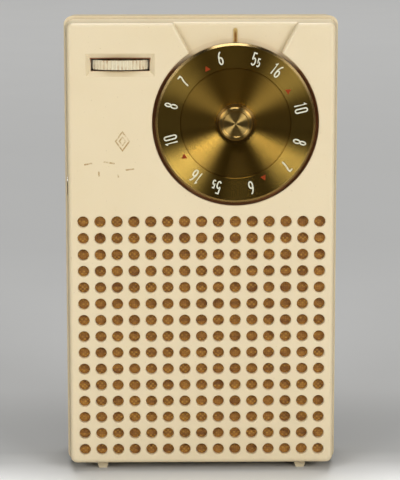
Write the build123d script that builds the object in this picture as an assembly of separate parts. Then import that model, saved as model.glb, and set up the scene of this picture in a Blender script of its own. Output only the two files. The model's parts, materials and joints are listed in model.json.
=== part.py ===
from build123d import *
import math
import os

# A pocket transistor radio. Millimetres, +Z up. The front looks along -Y and X runs to the right.
# The origin is on the surface that the four feet stand on, under the middle of the radio.
# Depths are measured backwards from the flat front face, and heights upwards from the feet.

# Case
case_width = 76.2
case_height = 127.1
case_depth = 31.75
foot_height = 1.0
seam_depth = 9.0
seam_gap = 0.35
side_step = 0.5
end_step = 0.85
front_draft = 4.4
rear_draft = 2.5
corner_radius = 2.4
inner_corner_radius = 1.3
cover_inner_radius = 1.7
face_edge_radius = 1.4
back_edge_radius = 3.5
front_wall = 1.6
side_wall = 1.8
rear_wall = 1.8
tongue_depth = 1.6
tongue_wall = 1.3
tongue_clearance = 0.3
foot_spread = 56.1
foot_width = 3.0
foot_tip_width = 2.2
foot_depth = 3.0
front_foot_depth = 4.6
rear_foot_depth = 24.0
coin_notch_width = 11.0
coin_notch_height = 0.7
coin_notch_depth = 1.1
recess_backing = 1.4
backing_overlap = 0.5
cavity_edge_radius = 1.2
mouth_radius = 0.6
rim_step = 0.2
tongue_root = 0.5
arm_inset = 1.0
arm_width = 4.0
arm_rise = 3.2
arm_slot_depth = 1.9
arm_thickness = 3.0
arm_behind_board = 1.6
arm_cloth_gap = 0.6
arm_seam_gap = 0.4
overcut = 1.0

# Grille
hole_diameter = 3.15
hole_pitch_x = 4.7
hole_pitch_z = 4.65
hole_columns = 15
hole_rows = 15
hole_chamfer = 0.18
grille_height = 39.1
cloth_thickness = 0.4
cloth_clearance = 0.25
cloth_above_holes = 0.3

# Tuning dial and its recess
dial_diameter = 44.1
dial_gap = 0.97
dial_across = 2 * hole_pitch_x
dial_below_top = 28.9
dial_proud = 0.9
dial_plate = 0.8
dial_rim = 0.6
dial_ring_radius = 15.2
dial_ring_step = 0.12
hub_diameter = 9.3
hub_height = 1.7
collar_width = 0.75
collar_height = 0.45
hub_teeth = 72
tooth_cut = 0.24
dial_back_clearance = 0.4
dial_skirt = 0.9
dial_boss_wall = 2.2
hub_dish = 0.25
hub_rim_inner = 1.2
hub_rim_crest = 0.95
hub_bevel = 0.4
recess_depth = 2.6
recess_floor = 1.6
wedge_top_half_width = 17.4
wedge_foot_half_width = 12.8
wedge_foot_below_top = 9.3
wedge_overlap = 4.0
wedge_edge_radius = 0.9
wedge_top_radius = 1.2
recess_edge_radius = 0.35
index_width = 1.1
index_bottom_below_top = 6.7
index_top_below_top = 2.9
index_proud = 0.35
index_sink = 0.6

# Volume wheel and its window
window_across = -22.3
window_below_top = 12.9
window_width = 16.1
window_height = 3.3
window_bevel_width = 19.0
window_bevel_height = 6.4
window_bevel_depth = 1.5
wheel_radius = 11.0
wheel_thickness = 2.55
wheel_proud = 0.7
wheel_flutes = 66
flute_radius = 0.32

# Circuit board
board_thickness = 1.6
board_front = 17.0
board_clearance = 0.7
board_top_clearance = 0.75
board_screw_radius = 1.0
boss_radius = 2.4
screw_head_radius = 1.9
screw_head_height = 0.9
screw_slot_depth = 0.4
screw_slot_half = 0.2
screw_post_bore = 8.0
upper_screw_inset = 2.5
upper_screw_rise = 1.9
side_screw_inset = 2.6
side_screw_drop = 10.1
bore_clearance = 0.06
slot_clearance = 0.06
wheel_board_gap = 1.3
clip_board_gap = 0.3
battery_board_gap = 0.5
board_screw_length = 6.0

# Tuning capacitor
shaft_radius = 2.0
shaft_running_gap = 0.05
frame_size = 26.0
frame_plate = 1.0
frame_front = 6.4
plate_thickness = 0.35
plate_pitch = 1.2
gang_pitch = 3.9
first_stator = 8.2
rotor_radius = 10.6
rotor_sleeve_radius = 3.2
rotor_rest_turn = 28.0
stator_half_width = 12.4
stator_reach = 11.4
post_radius = 0.7
post_across = 11.6
post_below = 6.0
insulator_radius = 1.6
insulator_thickness = 0.5
bush_wall = 2.0
bush_gap = 0.4
shaft_end_gap = 0.3
frame_screw_inset = 2.5
frame_screw_tip = 0.1
plates_per_gang = 3
sleeve_gap = 1.0
stator_margin = 0.8

# Volume control
control_radius = 5.8
control_height = 6.5
switch_height = 5.0
control_shaft_radius = 1.5
bracket_thickness = 0.8
bracket_wheel_gap = 0.7
bracket_width = 15.0
bush_radius = 2.75
bush_above = 0.3
lug_shifts = (-3.5, 0, 3.5)
lug_half_width = 0.6
lug_rise = 1.0
lug_sheet = 0.5
switch_inset = 0.3
shaft_below = 1.0
bearing_depth = 0.5
wheel_cap = 0.5
wheel_groove_outer = 1.6
wheel_groove_inner = 4.5
flute_centre_out = 0.08
rivet_radius = 0.8
rivet_head_radius = 1.4
rivet_head_height = 0.5
rivet_inset = 1.4
rivet_rise = 1.6
flange_rise = 2.2

# Speaker
speaker_clearance = 0.4
speaker_slack = 0.16
gasket_thickness = 1.0
flange_width = 4.4
flange_thickness = 1.0
basket_back_radius = 16.0
basket_depth = 8.2
cone_thickness = 0.45
coil_radius = 5.95
former_wall = 0.35
coil_wire = 0.4
coil_gap = 0.4
magnet_radius = 9.2
magnet_length = 7.0
magnet_plate_thickness = 1.2
magnet_wall = 1.3
spacer_radius = 1.7
spacer_inset = 0.3
spacer_angles = (25, 90, 155)
spacer_floor = 0.8
spacer_screw_tip = 1.2
speaker_grip = 0.2
cone_edge_gap = 0.5
cone_flat = 2.2
cone_back_gap = 1.0
surround_lift = 0.1
basket_window_length = 7.5
basket_window_shift = 0.6
basket_hole_gap = 0.6
basket_wall = 0.5
basket_step = 0.2
gasket_step = 0.6
coil_front_lead = 0.2
coil_end = 0.3
cap_rise = 1.8
cap_wall = 0.4
cap_profile = ((2.5, 0.3), (4.6, 1.0))
basket_window_width = 15.0
pole_clearance = 0.4
coil_back_gap = 1.2
magnet_board_gap = 0.8

# Battery and its clips
battery_length = 50.0
battery_height = 24.5
battery_thickness = 15.0
battery_clearance = 0.25
battery_front = 13.4
battery_edge_radius = 1.2
terminal_radius = 4.0
terminal_proud = 0.8
clip_gap = 0.12
clip_sheet = 0.5
clip_half_height = 5.0
clip_front_gap = 1.6
clip_back_gap = 0.8
clip_rivet_spread = 3.0
clip_rivet_inset = 2.4
clip_foot_inset = 0.6
clip_rivet_head = 1.3
clip_rivet_height = 0.4

# Antenna
rod_radius = 3.8
rod_length = 44.0
rod_behind_board = 5.8
rod_below_top = 9.1
antenna_coil_length = 22.0
antenna_coil_wall = 0.8
saddle_width = 3.5
saddle_inset = 5.0
saddle_behind_rod = 1.6
saddle_foot = 1.0
saddle_top_gap = 0.1

# Board components
can_side = 9.5
can_height = 9.4
leg_radius = 0.35
wire_radius = 0.28
lead_reach = 1.3
ceramic_radius = 3.6
ceramic_lift = 1.6
ceramic_thickness = 2.0
ceramic_leg_spread = 1.8
transistor_width = 7.6
transistor_depth = 4.0
transistor_height = 7.6
transistor_rim = 0.4
transistor_base = 0.7
transistor_edge = 0.6
electrolytic_length = 12.0
electrolytic_radius = 3.2
electrolytic_lift = 3.6
resistor_length = 6.4
resistor_radius = 1.15
resistor_lift = 1.5
diode_length = 6.5
diode_radius = 1.2
diode_lift = 1.6
core_half_width = 8.0
core_half_height = 6.5
core_depth = 9.0
window_inner = 2.5
window_outer = 5.5
window_half_height = 4.0
winding_gap = 0.1
winding_proud = 1.2
lead_radius = 0.45
lead_bend_share = 0.45
can_corner_radius = 1.2
slug_hole_radius = 1.9
slug_hole_depth = 1.5
slug_radius = 1.7
slug_sink = 0.5
slug_slot_depth = 0.3
slug_slot_half_length = 1.2
slug_slot_half_width = 0.25

# Earphone jack
jack_height = 81.1
jack_depth = 5.75
jack_bore_radius = 1.8
jack_bush_radius = 2.5
jack_flange_radius = 3.1
jack_flange = 0.5
jack_seat = 0.55
jack_body = 7.0
jack_shoulder = 1.6
jack_body_half_depth = 2.8
jack_body_half_height = 3.2
jack_end_wall = 1.2
jack_wall_gap = 0.27
jack_nut_height = 1.5
jack_nut_inset = 0.1
jack_tongue_gap = 1.5

# Places that follow from the sizes above
hub_proud = dial_proud + hub_height
face_y = (hub_proud - case_depth) / 2
lip_bottom = foot_height
lip_top = foot_height + case_height
middle_z = (lip_bottom + lip_top) / 2
front_width = case_width - 2 * side_step
front_height = case_height - 2 * end_step
front_draft_slope = math.tan(math.radians(front_draft))
inner_half_width = front_width / 2 - side_wall
jack_wall = front_width / 2 - (seam_depth - jack_depth) * front_draft_slope
board_back = board_front + board_thickness
cover_front = seam_depth + seam_gap
dial_z = lip_top - dial_below_top
recess_radius = dial_diameter / 2 + dial_gap
window_z = lip_top - window_below_top
wheel_depth = wheel_radius - wheel_proud
wheel_bottom = window_z - wheel_thickness / 2
wheel_top = window_z + wheel_thickness / 2
tongue_inset = side_wall + tongue_clearance + tongue_wall
battery_bottom = lip_bottom + end_step + tongue_inset + battery_clearance
board_half_width = front_width / 2 - tongue_inset - board_clearance
board_top = middle_z + front_height / 2 - tongue_inset - board_top_clearance
arm_top = lip_bottom + end_step + tongue_inset + arm_rise
arm_floor = arm_top - arm_slot_depth
cloth_back = front_wall + cloth_thickness
speaker_z = grille_height + 0.4
speaker_room = seam_depth * front_draft_slope + speaker_clearance - speaker_slack
floor_room = speaker_z - lip_bottom - end_step - side_wall
speaker_radius = min(inner_half_width, floor_room + speaker_grip) - speaker_room
flange_front = cloth_back + gasket_thickness
flange_back = flange_front + flange_thickness
basket_back = flange_front + flange_thickness + basket_depth
rod_depth = board_back + rod_behind_board
rod_z = lip_top - rod_below_top
nodes = {}


def at(depth):
    # Y of a plane that lies this far behind the front face.
    return face_y + depth


def slab(outline, front, back):
    # An outline drawn in X and Z, filled between two depths.
    plane = Plane(origin=(0, at(back), 0), x_dir=(1, 0, 0), z_dir=(0, -1, 0))
    return extrude(plane * outline, amount=back - front)


def disc(x, z, radius, front, back):
    return slab(Pos(x, z) * Circle(radius), front, back)


def block(x0, x1, front, back, z0, z1):
    middle = Pos((x0 + x1) / 2, at((front + back) / 2), (z0 + z1) / 2)
    return middle * Box(x1 - x0, back - front, z1 - z0)


def turned(profile, x, z):
    # A profile of (radius, depth) points turned about a front-to-back line.
    outline = Polyline(*[(radius, at(depth)) for radius, depth in profile], close=True)
    return Pos(x, 0, z) * revolve(make_face(outline), Axis.Y)


def turned_up(profile, x, depth):
    # A profile of (radius, height) points turned about an upright line.
    outline = Polyline(*profile, close=True)
    return Pos(x, at(depth), 0) * revolve(Plane.XZ * make_face(outline), Axis.Z)


def across(x0, x1, depth, z, radius):
    # A round bar that runs from side to side.
    plane = Plane(origin=(x0, at(depth), z), x_dir=(0, 1, 0), z_dir=(1, 0, 0))
    return extrude(plane * Circle(radius), amount=x1 - x0)


def drafted(width, height, radius, wide, narrow, draft):
    # A block centred on the case, largest at one depth and narrowing towards the other.
    way = 1 if narrow > wide else -1
    plane = Plane(origin=(0, at(wide), middle_z), x_dir=(1, 0, 0), z_dir=(0, way, 0))
    return extrude(plane * RectangleRounded(width, height, radius), amount=abs(narrow - wide), taper=draft)


def ring_outline(width, height, radius, wall):
    outer = Pos(0, middle_z) * RectangleRounded(width, height, radius)
    inner = Pos(0, middle_z) * RectangleRounded(width - 2 * wall, height - 2 * wall, max(radius - wall, 0.4))
    return outer - inner


def polygon(points):
    return make_face(Polyline(*points, close=True))


def foot(front):
    # Two moulded feet, side by side, tapering downwards.
    half = foot_width / 2
    tip = foot_tip_width / 2
    top = lip_bottom + end_step + side_wall / 2
    outline = polygon([
        (-tip, 0), (tip, 0), (half, foot_height), (half, top), (-half, top), (-half, foot_height),
    ])
    pair = [Pos(side * foot_spread / 2, 0) * outline for side in (-1, 1)]
    return [slab(one, front, front + foot_depth) for one in pair]


def screw(x, z, radius, head_back, tip):
    # A round-headed screw driven in from the back, with a slot across its head.
    shank = disc(x, z, radius, tip, head_back - screw_head_height)
    head = disc(x, z, screw_head_radius, head_back - screw_head_height, head_back)
    slot = block(
        x - screw_head_radius, x + screw_head_radius,
        head_back - screw_slot_depth, head_back, z - screw_slot_half, z + screw_slot_half,
    )
    return shank + head - slot


# Where the two board screws stand: upper right and middle left, clear of grille and controls.
board_screw_places = [
    (board_half_width - upper_screw_inset, window_z + upper_screw_rise),
    (side_screw_inset - board_half_width, dial_z - side_screw_drop),
]


def wedge_outline(extra):
    # The wedge above the dial: wide at the top edge and narrowing into the round recess.
    top = lip_top + overcut
    low = lip_top - wedge_foot_below_top - wedge_overlap
    slope = (wedge_top_half_width - wedge_foot_half_width) / (wedge_foot_below_top - end_step)
    top_half = wedge_top_half_width + slope * (overcut + end_step) + extra
    low_half = wedge_foot_half_width + extra - slope * wedge_overlap
    points = [(-top_half, top), (top_half, top), (low_half, low), (-low_half, low)]
    return Pos(dial_across, 0) * polygon(points)


def soften_recess(case):
    # Rounds the slanting edges of the wedge, the top edge of its floor and the rim of the round recess.
    def on_face(edge):
        return abs(edge.center().Y - at(0)) < 1e-3

    slants = [
        edge for edge in case.edges().filter_by(GeomType.LINE)
        if on_face(edge) and 0.1 < abs(edge.tangent_at(0.5).X) < 0.9
    ]
    case = fillet(slants, wedge_edge_radius)
    rim = [
        edge for edge in case.edges().filter_by(GeomType.CIRCLE)
        if on_face(edge) and abs(edge.radius - recess_radius) < 1e-3
    ]
    case = fillet(rim, recess_edge_radius)
    return case - wedge_top_waste()


def wedge_top_waste():
    # What is taken off to round the top edge of the wedge floor into the drafted top wall.
    steep = math.sqrt(1 + front_draft_slope * front_draft_slope)
    top = lip_top - end_step - (seam_depth - recess_depth) * front_draft_slope
    depth = recess_depth + wedge_top_radius
    z = top + wedge_top_radius * (front_draft_slope - steep)
    touch_depth = depth - wedge_top_radius * front_draft_slope / steep
    touch_z = z + wedge_top_radius / steep
    outline = polygon([
        (at(0), z), (at(depth), z), (at(touch_depth), touch_z), (at(touch_depth), lip_top), (at(0), lip_top),
    ])
    side = Plane(origin=(-case_width / 2, 0, 0), x_dir=(0, 1, 0), z_dir=(1, 0, 0))
    waste = extrude(side * outline, amount=case_width)
    waste -= across(-case_width, case_width, depth, z, wedge_top_radius)
    return waste & slab(wedge_outline(0), 0, recess_depth + wedge_top_radius + overcut)


def make_front_case():
    outer = drafted(front_width, front_height, corner_radius, seam_depth, 0, front_draft)
    solid = fillet(outer.faces().sort_by(Axis.Y)[0].edges(), face_edge_radius)
    cavity = drafted(
        front_width - 2 * side_wall, front_height - 2 * side_wall, inner_corner_radius,
        seam_depth, front_wall, front_draft,
    )
    case = solid - cavity
    backed = Pos(dial_across, dial_z) * Circle(recess_radius + recess_backing) + wedge_outline(recess_backing)
    case += slab(backed, front_wall - backing_overlap, recess_depth + recess_floor) & solid
    for x, z in board_screw_places:
        case += disc(x, z, boss_radius, front_wall - backing_overlap, board_front)
    # Two arms from the bottom wall stand past the seam and hold the lower edge of the board in slots.
    for side in (-1, 1):
        outer_x = board_half_width - arm_inset
        x0, x1 = sorted((side * (outer_x - arm_width), side * outer_x))
        low = lip_bottom + end_step + side_wall / 2
        stem_back = seam_depth - tongue_depth - arm_seam_gap
        case += block(x0, x1, cloth_back + arm_cloth_gap, stem_back, low, arm_top)
        case += block(
            x0, x1, stem_back - arm_cloth_gap, board_back + arm_behind_board, arm_top - arm_thickness, arm_top
        )
        case -= block(
            x0 - overcut, x1 + overcut,
            board_front - slot_clearance, board_back + slot_clearance, arm_floor, arm_top + overcut,
        )
    for one in foot(front_foot_depth):
        case += one
    recess = Pos(dial_across, dial_z) * Circle(recess_radius) + wedge_outline(0)
    case -= slab(recess, -overcut, recess_depth)
    case = soften_recess(case)
    case -= disc(dial_across, dial_z, shaft_radius + bush_wall + bush_gap, 0, seam_depth)
    case -= index_solid()
    # The window funnels down to the opening that the wheel shows through.
    wide = Plane(origin=(window_across, at(0), window_z), x_dir=(1, 0, 0), z_dir=(0, 1, 0))
    narrow = wide.offset(window_bevel_depth)
    funnel = loft([
        wide * Rectangle(window_bevel_width, window_bevel_height),
        narrow * Rectangle(window_width, window_height),
    ])
    case -= funnel
    opening = Pos(window_across, window_z) * Rectangle(window_width, window_height)
    case -= slab(opening, 0, front_wall + overcut)
    bore = board_screw_radius + bore_clearance
    for x, z in board_screw_places:
        case -= disc(x, z, bore, board_front - screw_post_bore, board_front + overcut)
    bush_hole = jack_bush_radius + bore_clearance
    flange_hole = jack_flange_radius + bore_clearance
    case -= across(-case_width, -inner_half_width + jack_nut_height, jack_depth, jack_height, bush_hole)
    case -= across(-case_width, -jack_wall + jack_seat, jack_depth, jack_height, flange_hole)
    holes = Sketch() + [
        Pos(0, grille_height) * spot * Circle(hole_diameter / 2)
        for spot in GridLocations(hole_pitch_x, hole_pitch_z, hole_columns, hole_rows)
    ]
    case -= slab(holes, -overcut, front_wall + overcut)
    rims = [
        edge for edge in case.edges().filter_by(GeomType.CIRCLE)
        if abs(edge.radius - hole_diameter / 2) < 1e-3 and abs(edge.center().Y - at(0)) < 1e-3
    ]
    return chamfer(rims, hole_chamfer)


def index_solid():
    # A small inlaid pointer with a round top, let into the wedge floor.
    low = lip_top - index_bottom_below_top
    high = lip_top - index_top_below_top - index_width / 2
    stem = Pos(dial_across, (low + high) / 2) * Rectangle(index_width, high - low)
    tip = Pos(dial_across, high) * Circle(index_width / 2)
    return slab(stem + tip, recess_depth - index_proud, recess_depth + index_sink)


def make_rear_cover():
    wall = side_wall
    outer = drafted(case_width, case_height, corner_radius, cover_front, case_depth, rear_draft)
    outer = fillet(outer.faces().sort_by(Axis.Y)[-1].edges(), back_edge_radius)
    rim = tongue_wall + rim_step
    cavity = drafted(
        case_width - 2 * wall, case_height - 2 * wall, cover_inner_radius,
        cover_front + rim, case_depth - rear_wall, rear_draft,
    )
    cavity = fillet(cavity.faces().sort_by(Axis.Y)[-1].edges(), cavity_edge_radius)
    mouth_inset = 2 * tongue_inset
    mouth = Pos(0, middle_z) * RectangleRounded(
        front_width - mouth_inset, front_height - mouth_inset, mouth_radius
    )
    cover = outer - cavity - slab(mouth, cover_front - overcut, cover_front + rim + rim_step)
    tongue_cut = 2 * (side_wall + tongue_clearance)
    tongue = ring_outline(
        front_width - tongue_cut, front_height - tongue_cut, inner_corner_radius, tongue_wall
    )
    cover += slab(tongue, seam_depth - tongue_depth, cover_front + tongue_root)
    # The tongue stops short on both sides of the earphone jack.
    reach = jack_flange_radius + jack_tongue_gap
    cover -= block(
        -inner_half_width, -inner_half_width + tongue_inset + overcut,
        seam_depth - tongue_depth - overcut, cover_front,
        jack_height - reach, jack_height + reach,
    )
    for one in foot(rear_foot_depth):
        cover += one
    half = coin_notch_width / 2
    return cover - block(
        -half, half, cover_front - overcut, cover_front + coin_notch_depth,
        lip_bottom - overcut, lip_bottom + coin_notch_height,
    )


def make_case():
    nodes["front_case"] = make_front_case()
    nodes["rear_cover"] = make_rear_cover()
    nodes["dial_index"] = index_solid()
    inset = (seam_depth - front_wall) * front_draft_slope + cloth_clearance
    half = inner_half_width - inset
    low = lip_bottom + end_step + side_wall + inset
    high = grille_height + hole_rows / 2 * hole_pitch_z + cloth_above_holes
    cloth = Pos(0, (low + high) / 2) * RectangleRounded(2 * half, high - low, inner_corner_radius)
    nodes["grille_cloth"] = slab(cloth, front_wall, cloth_back)


def make_dial():
    radius = dial_diameter / 2
    skirt = radius - dial_skirt
    front = -dial_proud
    back = recess_depth - dial_back_clearance
    under = front + dial_plate + dial_ring_step
    boss = shaft_radius + dial_boss_wall
    bore_end = front + dial_plate
    profile = [
        (0, front + dial_ring_step), (dial_ring_radius, front + dial_ring_step),
        (dial_ring_radius + dial_ring_step, front), (radius - dial_rim, front), (radius, front + dial_rim),
        (radius, back), (skirt, back), (skirt, under), (boss, under), (boss, back),
        (shaft_radius, back), (shaft_radius, bore_end + dial_ring_step), (0, bore_end + dial_ring_step),
    ]
    nodes["tuning_dial"] = turned(profile, dial_across, dial_z)
    # The hub cap has a toothed collar round a turned button with a bevelled edge.
    seat = front + dial_ring_step
    hub = hub_diameter / 2
    crown = -hub_proud
    button = turned(
        [(0, crown + hub_dish), (hub - hub_rim_inner, crown + hub_dish), (hub - hub_rim_crest, crown),
         (hub - hub_bevel, crown), (hub, crown + hub_bevel), (hub, seat), (0, seat)],
        dial_across, dial_z,
    )
    collar_radius = hub + collar_width
    step = 360 / hub_teeth
    teeth = Sketch() + [
        Pos(dial_across, dial_z) * Rot(0, 0, index * step) * Pos(collar_radius, 0) * Rot(0, 0, 45)
        * Rectangle(tooth_cut, tooth_cut) for index in range(hub_teeth)
    ]
    collar = Pos(dial_across, dial_z) * Circle(collar_radius) - teeth
    nodes["dial_hub_cap"] = button + slab(collar, seat - collar_height, seat)


def frame_screw_places():
    reach = frame_size / 2 - frame_screw_inset
    return [(dial_across + i * reach, dial_z + j * reach) for i in (-1, 1) for j in (-1, 1)]


def make_tuning_capacitor():
    x, z = dial_across, dial_z
    half = frame_size / 2
    inside = frame_front + frame_plate
    rear_plate = board_front - frame_plate
    front = -dial_proud + dial_plate + dial_ring_step
    nodes["tuning_shaft"] = disc(x, z, shaft_radius, front, board_front - shaft_end_gap)
    frame = block(x - half, x + half, frame_front, board_front, z - half, z + half)
    frame -= block(
        x - half - overcut, x + half + overcut, inside, rear_plate,
        z - half + frame_plate, z + half - frame_plate,
    )
    frame += disc(x, z, shaft_radius + bush_wall, recess_depth + recess_floor + bush_gap, frame_front)
    frame -= disc(x, z, shaft_radius + shaft_running_gap, 0, board_front + overcut)
    corners = frame_screw_places()
    bore = board_screw_radius + bore_clearance
    for cx, cz in corners:
        frame -= disc(cx, cz, bore, rear_plate - overcut, board_front + overcut)
    nodes["capacitor_frame"] = frame
    tip = rear_plate + frame_screw_tip
    head = board_back + screw_head_height
    screws = [screw(cx, cz, board_screw_radius, head, tip) for cx, cz in corners]
    nodes["capacitor_screws"] = Part() + screws
    # Rotor plates are half discs on a sleeve, and turn between the stator plates of two gangs.
    half_disc = Circle(rotor_radius) & Pos(0, -rotor_radius) * Rectangle(3 * rotor_radius, 2 * rotor_radius)
    rotor_outline = Pos(x, z) * Rot(0, 0, -rotor_rest_turn) * half_disc
    stator_middle = z - (stator_reach + stator_margin) / 2
    stator_rect = Pos(x, stator_middle) * Rectangle(2 * stator_half_width, stator_reach - stator_margin)
    stator_outline = stator_rect - Pos(x, z) * Circle(rotor_sleeve_radius + sleeve_gap)
    starts = [first_stator + gang * gang_pitch for gang in range(2)]
    last = starts[-1] + (plates_per_gang - 1) * plate_pitch + plate_thickness
    rotor = disc(x, z, rotor_sleeve_radius, first_stator, last)
    posts = [(x + side * post_across, z - post_below) for side in (-1, 1)]
    post_front = inside + insulator_thickness
    post_back = rear_plate - insulator_thickness
    stator = Part() + [disc(px, pz, post_radius, post_front, post_back) for px, pz in posts]
    for start in starts:
        for index in range(plates_per_gang):
            place = start + index * plate_pitch
            stator += slab(stator_outline, place, place + plate_thickness)
        for index in range(plates_per_gang - 1):
            place = start + (index + 0.5) * plate_pitch
            rotor += slab(rotor_outline, place, place + plate_thickness)
    nodes["rotor_plates"] = rotor - disc(x, z, shaft_radius, 0, board_front)
    nodes["stator_plates"] = stator
    pads = []
    for px, pz in posts:
        pads.append(disc(px, pz, insulator_radius, inside, post_front))
        pads.append(disc(px, pz, insulator_radius, post_back, rear_plate))
    nodes["stator_insulators"] = Part() + pads


def make_volume_control():
    x, depth = window_across, wheel_depth
    outline = Circle(wheel_radius)
    step = 360 / wheel_flutes
    outline -= [Rot(0, 0, index * step) * Pos(wheel_radius + flute_centre_out, 0) * Circle(flute_radius)
                for index in range(wheel_flutes)]
    wheel = Pos(x, at(depth), wheel_bottom) * extrude(outline, amount=wheel_thickness)
    under_cap = wheel_top - wheel_cap
    wheel -= turned_up([(0, wheel_bottom - overcut), (control_shaft_radius, wheel_bottom - overcut),
                        (control_shaft_radius, under_cap), (0, under_cap)], x, depth)
    groove_in = wheel_radius - wheel_groove_inner
    groove_out = wheel_radius - wheel_groove_outer
    groove = [(groove_in, under_cap), (groove_out, under_cap),
              (groove_out, wheel_top + overcut), (groove_in, wheel_top + overcut)]
    nodes["volume_wheel"] = wheel - turned_up(groove, x, depth)
    plate_top = wheel_bottom - bracket_wheel_gap
    can_top = plate_top - bracket_thickness
    can_bottom = can_top - control_height
    shaft_bottom = can_bottom + shaft_below
    nodes["volume_shaft"] = turned_up(
        [(0, shaft_bottom), (control_shaft_radius, shaft_bottom), (control_shaft_radius, under_cap),
         (0, under_cap)], x, depth)
    bore = control_shaft_radius + shaft_running_gap
    bush_top = plate_top + bush_above
    pocket = shaft_bottom - bearing_depth
    nodes["volume_control"] = turned_up(
        [(bore, pocket), (bore, bush_top), (bush_radius, bush_top), (bush_radius, can_top),
         (control_radius, can_top), (control_radius, can_bottom), (0, can_bottom), (0, pocket)],
        x, depth)
    lug_low = can_bottom + lug_rise
    lugs = [
        block(x + shift - lug_half_width, x + shift + lug_half_width,
              depth + control_radius - lug_half_width, board_front, lug_low, lug_low + lug_sheet)
        for shift in lug_shifts
    ]
    nodes["volume_control"] += lugs
    switch_bottom = can_bottom - switch_height
    nodes["volume_switch"] = turned_up(
        [(0, switch_bottom), (control_radius - 2 * switch_inset, switch_bottom),
         (control_radius - switch_inset, switch_bottom + switch_inset),
         (control_radius - switch_inset, can_bottom), (0, can_bottom)], x, depth)
    # An angle bracket on the board carries the control by its bush.
    half = bracket_width / 2
    bracket = block(x - half, x + half, depth - control_radius, board_front, can_top, plate_top)
    flange_low = can_bottom + flange_rise
    flange_front = board_front - bracket_thickness
    bracket += block(x - half, x + half, flange_front, board_front, flange_low, plate_top)
    bracket -= turned_up([(0, can_top - overcut), (bush_radius, can_top - overcut),
                          (bush_radius, plate_top + overcut), (0, plate_top + overcut)], x, depth)
    rivets = [(x + side * (half - rivet_inset), flange_low + rivet_rise) for side in (-1, 1)]
    for rx, rz in rivets:
        bracket -= disc(rx, rz, rivet_radius, flange_front - overcut, board_front + overcut)
    nodes["volume_bracket"] = bracket
    nodes["bracket_rivets"] = Part() + [
        disc(rx, rz, rivet_radius, flange_front, board_back)
        + disc(rx, rz, rivet_head_radius, board_back, board_back + rivet_head_height)
        for rx, rz in rivets
    ]
    return rivets


def speaker_spacer_places():
    reach = basket_back_radius - spacer_radius - spacer_inset
    angles = [math.radians(angle) for angle in spacer_angles]
    return [(reach * math.cos(angle), speaker_z + reach * math.sin(angle)) for angle in angles]


def make_speaker():
    z = speaker_z
    outer = speaker_radius
    inner = outer - flange_width
    hole = coil_radius + coil_wire + basket_hole_gap
    wide = inner + gasket_step
    nodes["speaker_gasket"] = turned(
        [(wide, cloth_back), (outer, cloth_back), (outer, flange_front), (wide, flange_front)], 0, z)
    back = basket_back
    basket = turned(
        [(inner, flange_front), (outer, flange_front), (outer, flange_back), (wide, flange_back),
         (basket_back_radius, back - basket_step), (basket_back_radius, back), (hole, back),
         (hole, back - flange_thickness), (basket_back_radius - basket_wall, back - flange_thickness),
         (inner, flange_back - basket_step)], 0, z)
    # Four windows in the slanting wall let the air out behind the cone.
    for angle in (0, 90, 180, 270):
        turn = Pos(0, z) * Rot(0, 0, angle)
        middle = (inner + basket_back_radius) / 2 + basket_window_shift
        window = turn * Pos(middle, 0) * Rectangle(basket_window_length, basket_window_width)
        basket -= slab(window, flange_back + basket_window_shift, back + overcut)
    nodes["speaker_basket"] = basket
    cone_out = inner - cone_edge_gap
    cone_in = coil_radius
    cone_back = back - flange_thickness - cone_back_gap
    slope = (cone_back - flange_front) / (cone_out - cone_flat - cone_in)
    lean = cone_thickness * math.sqrt(1 + slope * slope)
    edge = flange_front + surround_lift
    nodes["speaker_cone"] = turned(
        [(cone_out, edge), (cone_out, edge + cone_thickness), (cone_out - cone_flat, edge + lean),
         (cone_in, cone_back + lean), (cone_in, cone_back), (cone_out - cone_flat, edge)], 0, z)
    tube_back = back + magnet_plate_thickness + coil_back_gap
    tube_in = coil_radius - former_wall
    wire_front = back - coil_front_lead
    nodes["voice_coil"] = turned(
        [(tube_in, cone_back), (coil_radius, cone_back), (coil_radius, wire_front),
         (coil_radius + coil_wire, wire_front), (coil_radius + coil_wire, tube_back - coil_end),
         (coil_radius, tube_back - coil_end), (coil_radius, tube_back), (tube_in, tube_back)], 0, z)
    # The dust cap is a shallow dome, hollow from behind, that sits on the end of the coil former.
    tip = cone_back - cap_rise
    dome_line = [(radius, tip + drop) for radius, drop in cap_profile]
    dome = turned([(0, tip), *dome_line, (coil_radius, cone_back), (0, cone_back)], 0, z)
    hollow_line = [(radius - cap_wall / 2, depth + cap_wall) for radius, depth in dome_line]
    widest = hollow_line[-1][0] + cap_wall
    hollow = turned(
        [(0, tip + cap_wall), *hollow_line, (widest, cone_back + overcut), (0, cone_back + overcut)], 0, z)
    nodes["dust_cap"] = dome - hollow
    plate_bore = coil_radius + coil_wire + coil_gap
    plate_back = back + magnet_plate_thickness
    pot_back = back + magnet_length
    nodes["magnet_plate"] = turned(
        [(plate_bore, back), (magnet_radius, back), (magnet_radius, plate_back), (plate_bore, plate_back)],
        0, z)
    wall = magnet_radius - magnet_wall
    nodes["magnet_pot"] = turned(
        [(wall, plate_back), (magnet_radius, plate_back), (magnet_radius, pot_back), (0, pot_back),
         (0, pot_back - magnet_wall), (wall, pot_back - magnet_wall)], 0, z)
    pole = tube_in - pole_clearance
    nodes["magnet_core"] = disc(0, z, pole, back, pot_back - magnet_wall)
    places = speaker_spacer_places()
    bore = board_screw_radius + bore_clearance
    nodes["speaker_spacers"] = Part() + [
        disc(px, pz, spacer_radius, back, board_front)
        - disc(px, pz, bore, back + spacer_floor, board_front)
        for px, pz in places
    ]
    nodes["speaker_screws"] = Part() + [
        screw(px, pz, board_screw_radius, board_back + screw_head_height, back + spacer_screw_tip)
        for px, pz in places
    ]


def battery_clip_x():
    return battery_length / 2 + terminal_proud + clip_gap


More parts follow.
